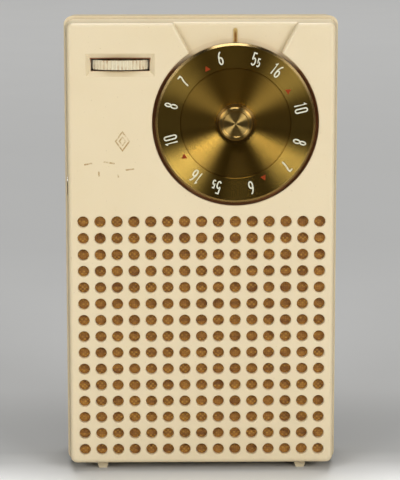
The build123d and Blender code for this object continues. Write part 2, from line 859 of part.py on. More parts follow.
def clip_rivet_places(side):
    # Two rivets, one above the other, through the foot of one battery clip.
    x = side * (board_half_width - clip_rivet_inset)
    z = battery_bottom + battery_height / 2
    return [(x, z - clip_rivet_spread), (x, z + clip_rivet_spread)]


def make_battery():
    half = battery_length / 2
    low, high = battery_bottom, battery_bottom + battery_height
    back = battery_front + battery_thickness
    body = block(-half, half, battery_front, back, low, high)
    body = fillet(body.edges().filter_by(Axis.X), battery_edge_radius)
    nodes["battery"] = body
    middle = (battery_front + back) / 2
    z = (low + high) / 2
    ends = [across(half, half + terminal_proud, middle, z, terminal_radius),
            across(-half - terminal_proud, -half, middle, z, terminal_radius)]
    nodes["battery_terminals"] = Part() + ends
    blade = battery_clip_x()
    clips, rivets = [], []
    for side in (-1, 1):
        x0, x1 = sorted((side * blade, side * (blade + clip_sheet)))
        foot_x0, foot_x1 = sorted((side * blade, side * (board_half_width - clip_foot_inset)))
        low, high = z - clip_half_height, z + clip_half_height
        clip = block(x0, x1, battery_front + clip_front_gap, back - clip_back_gap, low, high)
        clip_back = board_back + clip_sheet
        clip += block(foot_x0, foot_x1, board_back, clip_back, low, high)
        for hole_x, hole_z in clip_rivet_places(side):
            clip -= disc(hole_x, hole_z, rivet_radius, board_front, clip_back + overcut)
            rivets.append(
                disc(hole_x, hole_z, rivet_radius, board_front, clip_back)
                + disc(hole_x, hole_z, clip_rivet_head, clip_back, clip_back + clip_rivet_height)
            )
        clips.append(clip)
    nodes["battery_clips"] = Part() + clips
    nodes["clip_rivets"] = Part() + rivets


def make_antenna():
    middle = dial_across
    half = rod_length / 2
    nodes["ferrite_rod"] = across(middle - half, middle + half, rod_depth, rod_z, rod_radius)
    coil = across(middle - antenna_coil_length / 2, middle + antenna_coil_length / 2, rod_depth, rod_z,
                  rod_radius + antenna_coil_wall)
    nodes["antenna_coil"] = coil - across(middle - half, middle + half, rod_depth, rod_z, rod_radius)
    saddles = []
    for side in (-1, 1):
        x = middle + side * (half - saddle_inset)
        saddle = block(
            x - saddle_width / 2, x + saddle_width / 2, board_back, rod_depth + saddle_behind_rod,
            rod_z - rod_radius - saddle_foot, board_top - saddle_top_gap,
        )
        saddles.append(saddle - across(middle - half, middle + half, rod_depth, rod_z, rod_radius))
    nodes["antenna_saddles"] = Part() + saddles


def can(x, z):
    # A square shielding can with rounded upright edges and a hole over its tuning slug.
    outline = Pos(x, z) * RectangleRounded(can_side, can_side, can_corner_radius)
    top = board_back + can_height
    hole = disc(x, z, slug_hole_radius, top - slug_hole_depth, top + overcut)
    return slab(outline, board_back, top) - hole


def slug(x, z):
    top = board_back + can_height
    core = disc(x, z, slug_radius, top - slug_hole_depth, top - slug_sink)
    return core - block(
        x - slug_slot_half_length, x + slug_slot_half_length, top - slug_sink - slug_slot_depth, top,
        z - slug_slot_half_width, z + slug_slot_half_width,
    )


def lying(x, z, length, radius, lift):
    # A tubular part that lies along X above the board on two bent wire legs.
    depth = board_back + lift
    reach = length / 2 + lead_reach
    solid = across(x - length / 2, x + length / 2, depth, z, radius)
    solid += across(x - reach, x + reach, depth, z, wire_radius)
    for side in (-1, 1):
        solid += disc(x + side * reach, z, leg_radius, board_back, depth + leg_radius)
    return solid


def disc_capacitor(x, z):
    # A ceramic disc that stands on edge above the board on two wires.
    middle = board_back + ceramic_lift + ceramic_radius
    plane = Plane(origin=(x, at(middle), z - ceramic_thickness / 2), x_dir=(1, 0, 0), z_dir=(0, 0, 1))
    solid = extrude(plane * Circle(ceramic_radius), amount=ceramic_thickness)
    for side in (-1, 1):
        solid += disc(x + side * ceramic_leg_spread, z, leg_radius, board_back, middle)
    return solid


def transistor(x, z):
    # A flat-sided metal can on a base rim.
    rim = SlotOverall(transistor_width + 2 * transistor_rim, transistor_depth + 2 * transistor_rim)
    base = slab(Pos(x, z) * rim, board_back, board_back + transistor_base)
    outline = Pos(x, z) * SlotOverall(transistor_width, transistor_depth)
    body = slab(outline, board_back, board_back + transistor_height)
    top = body.faces().sort_by(Axis.Y)[-1].edges()
    return base + fillet(top, transistor_edge)


def make_components():
    column = board_half_width - 5.5
    can_heights = [dial_z - 11.2 - 15.5 * index for index in range(3)]
    for index, z in enumerate(can_heights):
        nodes[f"if_transformer_{index + 1}"] = can(column, z)
    oscillator_z = dial_z + 4.6
    nodes["oscillator_coil"] = can(column, oscillator_z)
    nodes["tuning_slugs"] = Part() + [slug(column, z) for z in can_heights + [oscillator_z]]
    upper = dial_z - 22.0
    places = [(15.5, upper + 3), (15.5, upper - 14), (-24.0, upper + 1), (-22.0, upper + 20)]
    for index, (x, z) in enumerate(places):
        nodes[f"transistor_{index + 1}"] = transistor(x, z)
    nodes["detector_diode"] = lying(4.0, dial_z + 6.0, diode_length, diode_radius, diode_lift)
    electrolytics = [(-1.0, upper + 6), (-1.0, upper - 2), (22.0, speaker_z - 1)]
    nodes["electrolytic_capacitors"] = Part() + [
        lying(x, z, electrolytic_length, electrolytic_radius, electrolytic_lift) for x, z in electrolytics
    ]
    ceramics = [(8.5, dial_z - 1), (-3.5, dial_z - 5), (-13.5, upper + 11), (-22.5, upper + 12.5),
                (4.0, upper - 13), (-23.0, speaker_z + 2)]
    nodes["disc_capacitors"] = Part() + [disc_capacitor(x, z) for x, z in ceramics]
    resistors = [(-5.0, dial_z + 1), (17.0, dial_z + 4), (17.0, dial_z - 1.5), (16.0, upper - 4),
                 (-5.0, upper - 11.0), (-5.0, upper - 16.0), (-14.0, dial_z + 5.5), (-25.0, upper + 7.5),
                 (23.0, speaker_z - 8), (-22.0, speaker_z - 5)]
    nodes["resistors"] = Part() + [
        lying(x, z, resistor_length, resistor_radius, resistor_lift) for x, z in resistors
    ]
    # The output transformer is a laminated block with its winding showing on two sides.
    x, z = -22.0, upper - 17
    top = board_back + core_depth
    core = block(
        x - core_half_width, x + core_half_width, board_back, top, z - core_half_height, z + core_half_height
    )
    outer = window_outer - winding_gap
    tall = window_half_height - winding_gap
    winding = block(x - outer, x + outer, top, top + winding_proud, z - tall, z + tall)
    for side in (-1, 1):
        x0, x1 = sorted((x + side * window_inner, x + side * window_outer))
        low, high = z - window_half_height, z + window_half_height
        core -= block(x0, x1, board_back - overcut, top + overcut, low, high)
        winding += block(x0 + winding_gap, x1 - winding_gap, board_back, top, z - tall, z + tall)
    nodes["transformer_core"] = core
    nodes["transformer_winding"] = winding


def make_jack():
    seat = -jack_wall + jack_seat
    inside = -jack_wall + side_wall + jack_wall_gap
    shoulder = inside + jack_shoulder
    end = shoulder + jack_body
    bush = across(seat - jack_flange, shoulder, jack_depth, jack_height, jack_bush_radius)
    bush += across(seat - jack_flange, seat, jack_depth, jack_height, jack_flange_radius)
    bush += block(
        shoulder, end, jack_depth - jack_body_half_depth, jack_depth + jack_body_half_depth,
        jack_height - jack_body_half_height, jack_height + jack_body_half_height,
    )
    mouth = seat - jack_flange - overcut
    nodes["earphone_jack"] = bush - across(
        mouth, end - jack_end_wall, jack_depth, jack_height, jack_bore_radius
    )
    nut_end = inside + jack_nut_height
    nut = across(inside, nut_end, jack_depth, jack_height, jack_flange_radius - jack_nut_inset)
    nut -= across(inside - overcut, nut_end + overcut, jack_depth, jack_height, jack_bush_radius)
    nodes["jack_nut"] = nut
    return end


def lead(points):
    # A flexible wire on straight runs joined by arcs that are as large as the runs allow.
    runs = [(b - a) for a, b in zip(points, points[1:])]
    radii = []
    for first, second in zip(runs, runs[1:]):
        turn = math.radians(first.get_angle(second))
        radii.append(lead_bend_share * min(first.length, second.length) / math.tan(turn / 2))
    path = FilletPolyline(*points, radius=radii)
    start = Plane(origin=points[0], z_dir=runs[0])
    tube = sweep(start * Circle(lead_radius), path=path)
    print("lead", round(path.length, 1), "mm, arcs", [round(r, 1) for r in radii],
          "volume ratio", round(tube.volume / (path.length * math.pi * lead_radius ** 2), 4))
    return tube


def make_leads(jack_end):
    speaker = []
    for side in (-1, 1):
        x = side * 4.5
        low = speaker_z + 9.5
        points = [(x, board_front, low + 6.4), (x, board_front - 1.4, low + 6.4),
                  (x, basket_back + 1.4, low + 3.2), (x, basket_back, low + 3.2)]
        speaker.append(lead([Vector(px, at(d), pz) for px, d, pz in points]))
    nodes["speaker_leads"] = Part() + speaker
    jack = []
    for side in (-1, 1):
        z = jack_height + side * 1.6
        points = [(jack_end, jack_depth, z), (jack_end + 4.5, jack_depth, z),
                  (jack_end + 8, board_front - 5.5, z + side), (jack_end + 8, board_front, z + side)]
        jack.append(lead([Vector(px, at(d), pz) for px, d, pz in points]))
    nodes["jack_leads"] = Part() + jack


def make_board(rivets):
    # The board is notched for the volume wheel, the battery and the speaker's magnet.
    low = arm_floor
    outline = Pos(0, (low + board_top) / 2) * Rectangle(2 * board_half_width, board_top - low)
    notch_right = window_across + wheel_radius + wheel_board_gap
    notch_low = wheel_bottom - bracket_wheel_gap
    left = -board_half_width - overcut
    outline -= polygon([(left, notch_low), (notch_right, notch_low), (notch_right, board_top + overcut),
                        (left, board_top + overcut)])
    bay = battery_clip_x() + clip_sheet + clip_board_gap
    bay_top = battery_bottom + battery_height + battery_board_gap
    outline -= polygon([(-bay, low - overcut), (bay, low - overcut), (bay, bay_top), (-bay, bay_top)])
    outline -= Pos(0, speaker_z) * Circle(magnet_radius + magnet_board_gap)
    board = slab(outline, board_front, board_back)
    through = board_screw_radius + bore_clearance
    for x, z in frame_screw_places() + speaker_spacer_places() + board_screw_places:
        board -= disc(x, z, through, board_front - overcut, board_back + overcut)
    for x, z in clip_rivet_places(-1) + clip_rivet_places(1) + rivets:
        board -= disc(x, z, rivet_radius, board_front - overcut, board_back + overcut)
    nodes["circuit_board"] = board
    head = board_back + screw_head_height
    nodes["board_screws"] = Part() + [
        screw(x, z, board_screw_radius, head, board_front - board_screw_length)
        for x, z in board_screw_places
    ]


make_case()
make_dial()
make_tuning_capacitor()
bracket_rivets = make_volume_control()
make_speaker()
make_battery()
make_antenna()
make_components()
end_of_jack = make_jack()
make_leads(end_of_jack)
make_board(bracket_rivets)

os.makedirs("parts", exist_ok=True)
for name, shape in nodes.items():
    export_step(shape, f"parts/{name}.step")
print(len(nodes), "nodes")
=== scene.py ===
import json
import math

import bpy
import numpy as np
from mathutils import Euler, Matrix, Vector


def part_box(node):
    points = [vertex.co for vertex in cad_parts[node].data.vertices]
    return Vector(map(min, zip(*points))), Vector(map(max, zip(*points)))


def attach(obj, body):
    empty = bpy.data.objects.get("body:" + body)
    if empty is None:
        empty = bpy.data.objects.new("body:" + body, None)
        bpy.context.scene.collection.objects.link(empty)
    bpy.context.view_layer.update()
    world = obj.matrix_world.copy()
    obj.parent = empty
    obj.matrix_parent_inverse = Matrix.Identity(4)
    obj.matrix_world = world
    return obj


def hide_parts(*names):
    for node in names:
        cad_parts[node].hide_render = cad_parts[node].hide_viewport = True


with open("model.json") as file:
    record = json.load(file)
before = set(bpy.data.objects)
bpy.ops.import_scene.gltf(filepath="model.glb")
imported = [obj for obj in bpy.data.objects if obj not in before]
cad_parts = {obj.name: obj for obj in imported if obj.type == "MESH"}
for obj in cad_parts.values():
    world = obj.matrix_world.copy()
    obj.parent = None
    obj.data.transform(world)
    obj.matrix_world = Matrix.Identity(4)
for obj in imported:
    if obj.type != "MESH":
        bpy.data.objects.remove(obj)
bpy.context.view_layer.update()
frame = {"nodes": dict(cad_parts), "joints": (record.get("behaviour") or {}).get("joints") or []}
mm = 0.001

# places that everything else is measured from
dialHinge = next(joint for joint in frame["joints"] if joint["name"] == "tuning_turn")
wheelHinge = next(joint for joint in frame["joints"] if joint["name"] == "volume_turn")
dialX, dialZ = dialHinge["pos_m"][0], dialHinge["pos_m"][2]
wheelX, wheelY = wheelHinge["pos_m"][0], wheelHinge["pos_m"][1]
wheelLow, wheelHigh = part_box("volume_wheel")
windowZ = (wheelLow.z + wheelHigh.z) / 2
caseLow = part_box("front_case")[0]
faceY = caseLow.y
dialLow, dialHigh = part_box("tuning_dial")
dialRadius = (dialHigh.x - dialLow.x) / 2
hubLow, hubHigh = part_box("dial_hub_cap")
collarWidth = 0.75 * mm
hubRadius = (hubHigh.x - hubLow.x) / 2 - collarWidth
print("frame loaded, dial centre", round(dialX, 4), round(dialZ, 4))


# small helpers that add and join material nodes

def newFinish(name):
    material = bpy.data.materials.new(name)
    material.use_nodes = True
    return material


def shaderOf(material):
    return material.node_tree.nodes["Principled BSDF"]


def addNode(material, kind, inputs=None, **settings):
    # one node, with its settings and its inputs: a socket is linked, anything else is typed in
    node = material.node_tree.nodes.new(kind)
    for key, value in settings.items():
        setattr(node, key, value)
    for key, value in (inputs or {}).items():
        if isinstance(value, bpy.types.NodeSocket):
            material.node_tree.links.new(value, node.inputs[key])
        else:
            node.inputs[key].default_value = value
    return node


def place(material, centre=(0, 0, 0), turn=(0, 0, 0), scale=(1, 1, 1)):
    # object coordinates, measured from a centre, turned and stretched
    spot = addNode(material, "ShaderNodeTexCoord").outputs["Object"]
    moved = addNode(material, "ShaderNodeVectorMath", {0: spot, 1: centre}, operation="SUBTRACT")
    return addNode(
        material, "ShaderNodeMapping",
        {"Vector": moved.outputs[0], "Rotation": [math.radians(a) for a in turn], "Scale": scale},
    ).outputs[0]


def noise(material, vector, scale, detail=3.0, roughness=0.5, twist=0.0):
    return addNode(
        material, "ShaderNodeTexNoise",
        {"Vector": vector, "Scale": scale, "Detail": detail, "Roughness": roughness, "Distortion": twist},
    ).outputs["Fac"]


def sums(material, operation, first, second=0.0):
    return addNode(material, "ShaderNodeMath", {0: first, 1: second}, operation=operation).outputs[0]


def product(material, *factors):
    total = factors[0]
    for factor in factors[1:]:
        total = sums(material, "MULTIPLY", total, factor)
    return total


def spread(material, value, low, high, newLow=0.0, newHigh=1.0):
    # a straight ramp from newLow at low to newHigh at high, held level outside
    return addNode(
        material, "ShaderNodeMapRange",
        {"Value": value, "From Min": low, "From Max": high, "To Min": newLow, "To Max": newHigh},
    ).outputs[0]


def apart(material, vector):
    # the X, Y and Z of a vector
    return addNode(material, "ShaderNodeSeparateXYZ", {0: vector}).outputs


def blendColour(material, factor, first, second):
    inputs = {0: factor, 6: solid(first), 7: solid(second)}
    return addNode(material, "ShaderNodeMix", inputs, data_type="RGBA").outputs[2]


def solid(colour):
    return colour if isinstance(colour, bpy.types.NodeSocket) else (*colour, 1.0)


def relief(material, height, strength, depth, under=None):
    inputs = {"Height": height, "Strength": strength, "Distance": depth}
    if under is not None:
        inputs["Normal"] = under
    return addNode(material, "ShaderNodeBump", inputs).outputs[0]


def crevice(material, reach, start=0.75, full=0.25):
    # occlusion within reach, turned over: 0 in the open and 1 in tight corners
    shade = addNode(material, "ShaderNodeAmbientOcclusion", {"Distance": reach}, samples=8)
    return spread(material, shade.outputs["AO"], start, full)


def fromAxis(material, centre, axis):
    # distance from a turning axis, and the point measured from it
    spot = place(material, centre)
    flat = (0, 1, 1) if axis == "X" else (1, 0, 1) if axis == "Y" else (1, 1, 0)
    across = addNode(material, "ShaderNodeVectorMath", {0: spot, 1: flat}, operation="MULTIPLY").outputs[0]
    length = addNode(material, "ShaderNodeVectorMath", {0: across}, operation="LENGTH").outputs["Value"]
    return length, across


def setShader(material, **sockets):
    # socket names come with _ for a blank
    shader = shaderOf(material)
    for key, value in sockets.items():
        socket = shader.inputs[key.replace("_", " ")]
        if isinstance(value, bpy.types.NodeSocket):
            material.node_tree.links.new(value, socket)
        elif isinstance(value, tuple) and len(value) == 3 and socket.type == "RGBA":
            socket.default_value = (*value, 1.0)
        else:
            socket.default_value = value
    return material


ivory = {
    "colour": (0.735, 0.618, 0.412),
    "aged": (0.685, 0.56, 0.34),
    "grimeAndCornerShade": (0.30, 0.19, 0.09),
    "cloudScale": 38.0,
    "cloudiness": 0.28,
    "speckScale": 1500.0,
    "specks": 0.35,
    "cornerReach": 1.4 * mm,
    "patchScale": 160.0,
    "grainScale": 900.0,
    "grainDepth": 0.02 * mm,
    "waveScale": 60.0,
    "waveDepth": 0.06 * mm,
    "roughScale": 120.0,
    "rough": (0.34, 0.5),
    "scratchTurns": (24.0, -61.0),
    "scratchStretch": (14.0, 1400.0, 1400.0),
    "scratches": 0.35,
    "gloss": 0.45,
    "softness": {"weight": 0.06, "scale": 1.2 * mm},
    "coat": {"weight": 0.08, "rough": 0.25},
}
# painted shade and old dirt in the gap round the dial and on the edge of the wheel's window
oldDirtAndShade = {
    "gapBand": (dialRadius - 0.2 * mm, dialRadius + 1.0 * mm),
    "gapDepths": (0.15 * mm, 0.9 * mm, 4 * mm, 5 * mm),
    "gapTop": (14 * mm, 17.5 * mm),
    "gapAmount": 0.93,
    "gapColour": (0.26, 0.075, 0.002),
    "windowSides": (8.3 * mm, 8.8 * mm),
    "windowEnds": (1.9 * mm, 2.4 * mm),
    "windowDepths": (3 * mm, 4 * mm),
    "startDepth": (1.35 * mm, 1.1 * mm),
    "startHeight": (0.5 * mm, 1.5 * mm),
    "fade": 0.15 * mm,
    "windowAmount": 0.9,
    "windowColour": (0.20, 0.045, 0.004),
    "dullness": 0.8,
}


def gapShadeAndDirt(finish, depth, settings):
    # painted shade and dirt: 1 where the distance from the dial's axis is in the band and the point is sunk
    # below the face, fading out at the top, where the wedge opens
    radius, across = fromAxis(finish, (dialX, 0, dialZ), "Y")
    ringIn, ringOut = settings["gapBand"]
    shallow, sunk, deep, deepest = settings["gapDepths"]
    level, high = settings["gapTop"]
    inner = spread(finish, radius, ringIn - mm, ringIn)
    outer = spread(finish, radius, ringOut + 0.25 * mm, ringOut)
    below = spread(finish, apart(finish, across)[2], high, level, 0.1, 1.0)
    return product(finish, inner, outer, spread(finish, depth, shallow, sunk),
                   spread(finish, depth, deepest, deep), below, settings["gapAmount"])


def windowShadeAndDirt(finish, depth, settings):
    # painted shade and dirt: 1 inside a box round the window, from a depth that is less along the upper
    # edge
    local = place(finish, (wheelX, 0, windowZ))
    sides = addNode(finish, "ShaderNodeVectorMath", {0: local}, operation="ABSOLUTE").outputs[0]
    near, far = settings["windowSides"]
    low, high = settings["windowEnds"]
    full, none = settings["windowDepths"]
    distances = apart(finish, sides)
    start = spread(finish, apart(finish, local)[2], *settings["startHeight"], *settings["startDepth"])
    past = sums(finish, "SUBTRACT", depth, start)
    return product(finish, spread(finish, distances[0], far, near), spread(finish, distances[2], high, low),
                   spread(finish, depth, none, full), spread(finish, past, 0.0, settings["fade"]))


def scratchLines(finish, settings):
    # hair scratches: noise stretched long and thin in two directions, of which only the peaks are kept
    lines = []
    for turn in settings["scratchTurns"]:
        thin = place(finish, turn=(0, turn, 0), scale=settings["scratchStretch"])
        lines.append(spread(finish, noise(finish, thin, 1.0, 1.0), 0.735, 0.76))
    return product(finish, sums(finish, "MAXIMUM", lines[0], lines[1]), settings["scratches"])


def mouldedIvory(name, settings, shadeAndDirt):
    # colour = ivory clouded with an older tone, speckled, with painted shade and grime in tight corners, in
    # the dial's gap and in the wheel's window;
    # height = slow waves, with a fine grain on them that the scratches cut into
    finish = newFinish(name)
    spot = place(finish)
    cloud = noise(finish, spot, settings["cloudScale"], 4.0)
    cloud = spread(finish, cloud, 0.35, 0.7, 0.0, settings["cloudiness"])
    colour = blendColour(finish, cloud, settings["colour"], settings["aged"])
    speck = noise(finish, spot, settings["speckScale"], 2.0)
    speck = spread(finish, speck, 0.70, 0.78, 0.0, settings["specks"])
    colour = blendColour(finish, speck, colour, settings["grimeAndCornerShade"])
    # painted shade and grime in tight corners, from occlusion, patchy by a noise
    corner = crevice(finish, settings["cornerReach"], 0.42, 0.1)
    patchy = spread(finish, noise(finish, spot, settings["patchScale"], 3.0), 0.3, 0.7, 0.25, 0.8)
    colour = blendColour(finish, product(finish, corner, patchy), colour, settings["grimeAndCornerShade"])
    depth = apart(finish, place(finish, (0, faceY, 0)))[1]
    # painted shade and dirt in the gap round the dial and inside the wheel's window
    ring = gapShadeAndDirt(finish, depth, shadeAndDirt)
    colour = blendColour(finish, ring, colour, shadeAndDirt["gapColour"])
    inner = windowShadeAndDirt(finish, depth, shadeAndDirt)
    amount = product(finish, inner, shadeAndDirt["windowAmount"])
    colour = blendColour(finish, amount, colour, shadeAndDirt["windowColour"])
    scratch = scratchLines(finish, settings)
    colour = blendColour(finish, product(finish, scratch, 0.3), colour, settings["aged"])
    low, high = settings["rough"]
    rough = spread(finish, noise(finish, spot, settings["roughScale"], 4.0), 0.3, 0.7, low, high)
    rough = sums(finish, "ADD", rough, product(finish, scratch, 0.3))
    dull = sums(finish, "MAXIMUM", ring, inner)
    rough = sums(finish, "MAXIMUM", rough, product(finish, dull, shadeAndDirt["dullness"]))
    wave = relief(finish, noise(finish, spot, settings["waveScale"], 2.0), 1.0, settings["waveDepth"])
    grain = noise(finish, spot, settings["grainScale"], 3.0)
    grain = sums(finish, "SUBTRACT", grain, product(finish, scratch, 0.5))
    skin = relief(finish, grain, 1.0, settings["grainDepth"], wave)
    setShader(finish, Base_Color=colour, Roughness=rough, Normal=skin, Specular_IOR_Level=settings["gloss"],
              Subsurface_Weight=settings["softness"]["weight"], Subsurface_Radius=(1.0, 0.6, 0.3),
              Subsurface_Scale=settings["softness"]["scale"],
              Coat_Weight=settings["coat"]["weight"], Coat_Roughness=settings["coat"]["rough"])
    return finish


gilt = {
    "colour": (0.84, 0.55, 0.115),
    "inner": (0.78, 0.47, 0.09),
    "worn": (0.52, 0.30, 0.05),
    "rim": (0.66, 0.48, 0.24),
    "joint": (0.10, 0.05, 0.01),
    "shadeAndDirt": (0.07, 0.035, 0.01),
    "collar": (0.16, 0.09, 0.03),
    "rimBand": (0.75 * mm, 0.55 * mm),
    "jointBand": (0.04 * mm, 0.2 * mm),
    "collarEdge": 0.12 * mm,
    "occlusionReach": 0.8 * mm,
    "tarnishScale": 130.0,
    "rough": 0.24,
    "lines": 2600.0,
    "bands": 260.0,
    "lineDepth": 0.0006 * mm,
    "dish": 0.1,
    "stretch": 0.97,
}
hubGilt = {**gilt, "colour": (0.80, 0.55, 0.19), "rough": 0.3, "dish": 0.0}
discRadius = 15.2 * mm  # where the dial's inner disc ends


def turnedGilt(name, settings, ringRadius=None):
    # the surface is turned on a lathe: every colour and height is a noise of the distance from the axis,
    # and the highlights are drawn out across the circular grooves
    finish = newFinish(name)
    radius, across = fromAxis(finish, (dialX, 0, dialZ), "Y")
    track = addNode(finish, "ShaderNodeCombineXYZ", {0: radius}).outputs[0]
    fine = noise(finish, track, settings["lines"], 3.0, 0.6)
    broad = noise(finish, track, settings["bands"], 2.0)
    tarnish = noise(finish, place(finish), settings["tarnishScale"], 5.0, 0.6)
    tarnish = spread(finish, tarnish, 0.45, 0.75, 0.0, 0.35)
    colour = blendColour(finish, tarnish, settings["colour"], settings["worn"])
    if ringRadius:
        # a duller inner disc, with a dark joint at its edge
        inside = spread(finish, radius, ringRadius - 0.05 * mm, ringRadius + 0.05 * mm, 0.8, 0.0)
        colour = blendColour(finish, inside, colour, settings["inner"])
        joint = sums(finish, "ABSOLUTE", sums(finish, "SUBTRACT", radius, ringRadius))
        joint = spread(finish, joint, *settings["jointBand"], 0.75, 0.0)
        colour = blendColour(finish, joint, colour, settings["joint"])
    else:
        # the knurled collar round the button is painted dark: the dark of its teeth and painted shade of
        # the gap round the cap
        collar = spread(finish, radius, hubRadius, hubRadius + settings["collarEdge"], 0.0, 0.7)
        colour = blendColour(finish, collar, colour, settings["collar"])
    colour = blendColour(finish, spread(finish, fine, 0.35, 0.65, 0.12, 0.0), colour, settings["worn"])
    colour = blendColour(finish, spread(finish, broad, 0.4, 0.7, 0.12, 0.0), colour, settings["worn"])
    rimStart, rimFull = settings["rimBand"]
    rim = spread(finish, radius, dialRadius - rimStart, dialRadius - rimFull, 0.0, 0.8)
    colour = blendColour(finish, rim, colour, settings["rim"])
    # painted shade and dirt in tight corners, from occlusion
    shadeAndDirt = product(finish, crevice(finish, settings["occlusionReach"]), 0.7)
    colour = blendColour(finish, shadeAndDirt, colour, settings["shadeAndDirt"])
    rough = spread(finish, fine, 0.3, 0.7, settings["rough"] - 0.025, settings["rough"] + 0.035)
    # a slight dish: the surface rises evenly with the radius, so it leans in towards the axis
    bowl = product(finish, radius, settings["dish"])
    leaning = relief(finish, bowl, 1.0, 1.0)
    grooves = relief(finish, fine, 1.0, settings["lineDepth"], leaning)
    # light spreads across the grooves, which is the way out from the axis, in world space
    world = addNode(finish, "ShaderNodeVectorTransform", {"Vector": across},
                    vector_type="VECTOR", convert_from="OBJECT", convert_to="WORLD").outputs[0]
    outward = addNode(finish, "ShaderNodeVectorMath", {0: world}, operation="NORMALIZE").outputs[0]
    setShader(finish, Base_Color=colour, Metallic=1.0, Roughness=rough, Anisotropic=settings["stretch"],
              Tangent=outward, Normal=grooves)
    return finish


metals = {
    "steel": {"colour": (0.46, 0.45, 0.42), "worn": (0.25, 0.21, 0.16),
              "rough": (0.25, 0.45), "scale": 220.0},
    "brass": {"colour": (0.62, 0.44, 0.17), "worn": (0.30, 0.18, 0.07),
              "rough": (0.24, 0.45), "scale": 260.0},
    "aluminium": {"colour": (0.70, 0.70, 0.69), "worn": (0.45, 0.43, 0.40),
                  "rough": (0.25, 0.4), "scale": 240.0},
    "alnico": {"colour": (0.33, 0.33, 0.34), "worn": (0.20, 0.17, 0.14),
               "rough": (0.35, 0.55), "scale": 300.0},
    "chrome": {"colour": (0.70, 0.70, 0.71), "worn": (0.42, 0.40, 0.37),
               "rough": (0.08, 0.2), "scale": 200.0},
    "can": {"colour": (0.60, 0.60, 0.58), "worn": (0.38, 0.36, 0.32),
            "rough": (0.22, 0.4), "scale": 180.0},
    "worn_gold": {"colour": (0.55, 0.34, 0.11), "worn": (0.24, 0.12, 0.04),
                  "rough": (0.35, 0.6), "scale": 500.0},
}


def platedMetal(name, settings):
    # colour and roughness follow one cloudy noise; fine drawn lines in relief along the part
    finish = newFinish(name)
    spot = place(finish)
    cloud = noise(finish, spot, settings["scale"], 5.0, 0.6)
    colour = blendColour(finish, spread(finish, cloud, 0.42, 0.72), settings["colour"], settings["worn"])
    # painted shade and dirt in tight corners, from occlusion
    shadeAndDirt = product(finish, crevice(finish, 1.0 * mm), 0.6)
    colour = blendColour(finish, shadeAndDirt, colour, tuple(0.35 * c for c in settings["worn"]))
    low, high = settings["rough"]
    rough = spread(finish, cloud, 0.3, 0.75, low, high)
    drawn = noise(finish, place(finish, scale=(1.0, 1.0, 14.0)), 420.0, 3.0)
    skin = relief(finish, drawn, 1.0, 0.006 * mm)
    setShader(finish, Base_Color=colour, Metallic=1.0, Roughness=rough, Normal=skin)
    return finish


# plastics, card, ceramic and rubber
bodies = {
    "phenolic": {"colour": (0.165, 0.065, 0.025), "second": (0.09, 0.035, 0.015), "rough": (0.35, 0.55),
                 "scale": 400.0, "depth": 0.02 * mm},
    "ceramic": {"colour": (0.50, 0.25, 0.08), "second": (0.36, 0.16, 0.05), "rough": (0.3, 0.5),
                "scale": 500.0, "depth": 0.03 * mm},
    "basket_steel": {"colour": (0.028, 0.028, 0.03), "second": (0.06, 0.055, 0.05), "rough": (0.4, 0.6),
                     "scale": 350.0, "depth": 0.02 * mm},
    "felt": {"colour": (0.10, 0.085, 0.07), "second": (0.18, 0.155, 0.13), "rough": (0.9, 1.0),
             "scale": 2600.0, "depth": 0.12 * mm},
    "ferrite": {"colour": (0.030, 0.028, 0.027), "second": (0.065, 0.06, 0.055), "rough": (0.5, 0.7),
                "scale": 900.0, "depth": 0.03 * mm},
    "transistor_can": {"colour": (0.022, 0.022, 0.024), "second": (0.05, 0.047, 0.043),
                       "rough": (0.25, 0.42), "scale": 420.0, "depth": 0.012 * mm},
    "capacitor_sleeve": {"colour": (0.52, 0.38, 0.17), "second": (0.38, 0.26, 0.11), "rough": (0.5, 0.7),
                         "scale": 700.0, "depth": 0.03 * mm},
    "winding_tape": {"colour": (0.48, 0.31, 0.07), "second": (0.33, 0.20, 0.04), "rough": (0.3, 0.5),
                     "scale": 300.0, "depth": 0.03 * mm},
    "lead_black": {"colour": (0.018, 0.018, 0.018), "second": (0.04, 0.038, 0.035), "rough": (0.4, 0.6),
                   "scale": 600.0, "depth": 0.02 * mm},
    "lead_red": {"colour": (0.34, 0.022, 0.015), "second": (0.22, 0.02, 0.015), "rough": (0.4, 0.6),
                 "scale": 600.0, "depth": 0.02 * mm},
    "resistor_body": {"colour": (0.20, 0.10, 0.05), "second": (0.13, 0.06, 0.03), "rough": (0.35, 0.5),
                      "scale": 700.0, "depth": 0.02 * mm},
}
# dust and painted shade laid into tight corners
dust = {"colour": (0.22, 0.18, 0.13), "reach": 1.2 * mm, "amount": 0.25}


def plainBody(name, settings):
    # two close tones mixed by a noise, the same noise in relief, dust and painted shade in corners, from
    # occlusion
    finish = newFinish(name)
    spot = place(finish)
    grain = noise(finish, spot, settings["scale"], 4.0, 0.6)
    slow = noise(finish, spot, settings["scale"] / 6, 3.0)
    mixed = product(finish, sums(finish, "ADD", grain, slow), 0.5)
    colour = blendColour(finish, spread(finish, mixed, 0.35, 0.65), settings["colour"], settings["second"])
    # painted shade and dust in tight corners, from occlusion
    dusty = product(finish, crevice(finish, dust["reach"]), dust["amount"])
    colour = blendColour(finish, dusty, colour, dust["colour"])
    low, high = settings["rough"]
    rough = spread(finish, slow, 0.3, 0.7, low, high)
    setShader(finish, Base_Color=colour, Roughness=rough,
              Normal=relief(finish, grain, 1.0, settings["depth"]))
    return finish


coreIron = {"axis": 1, "pitch": 0.7 * mm, "colour": (0.20, 0.18, 0.16), "gap": (0.06, 0.045, 0.035),
            "metallic": 0.8, "rough": 0.5}


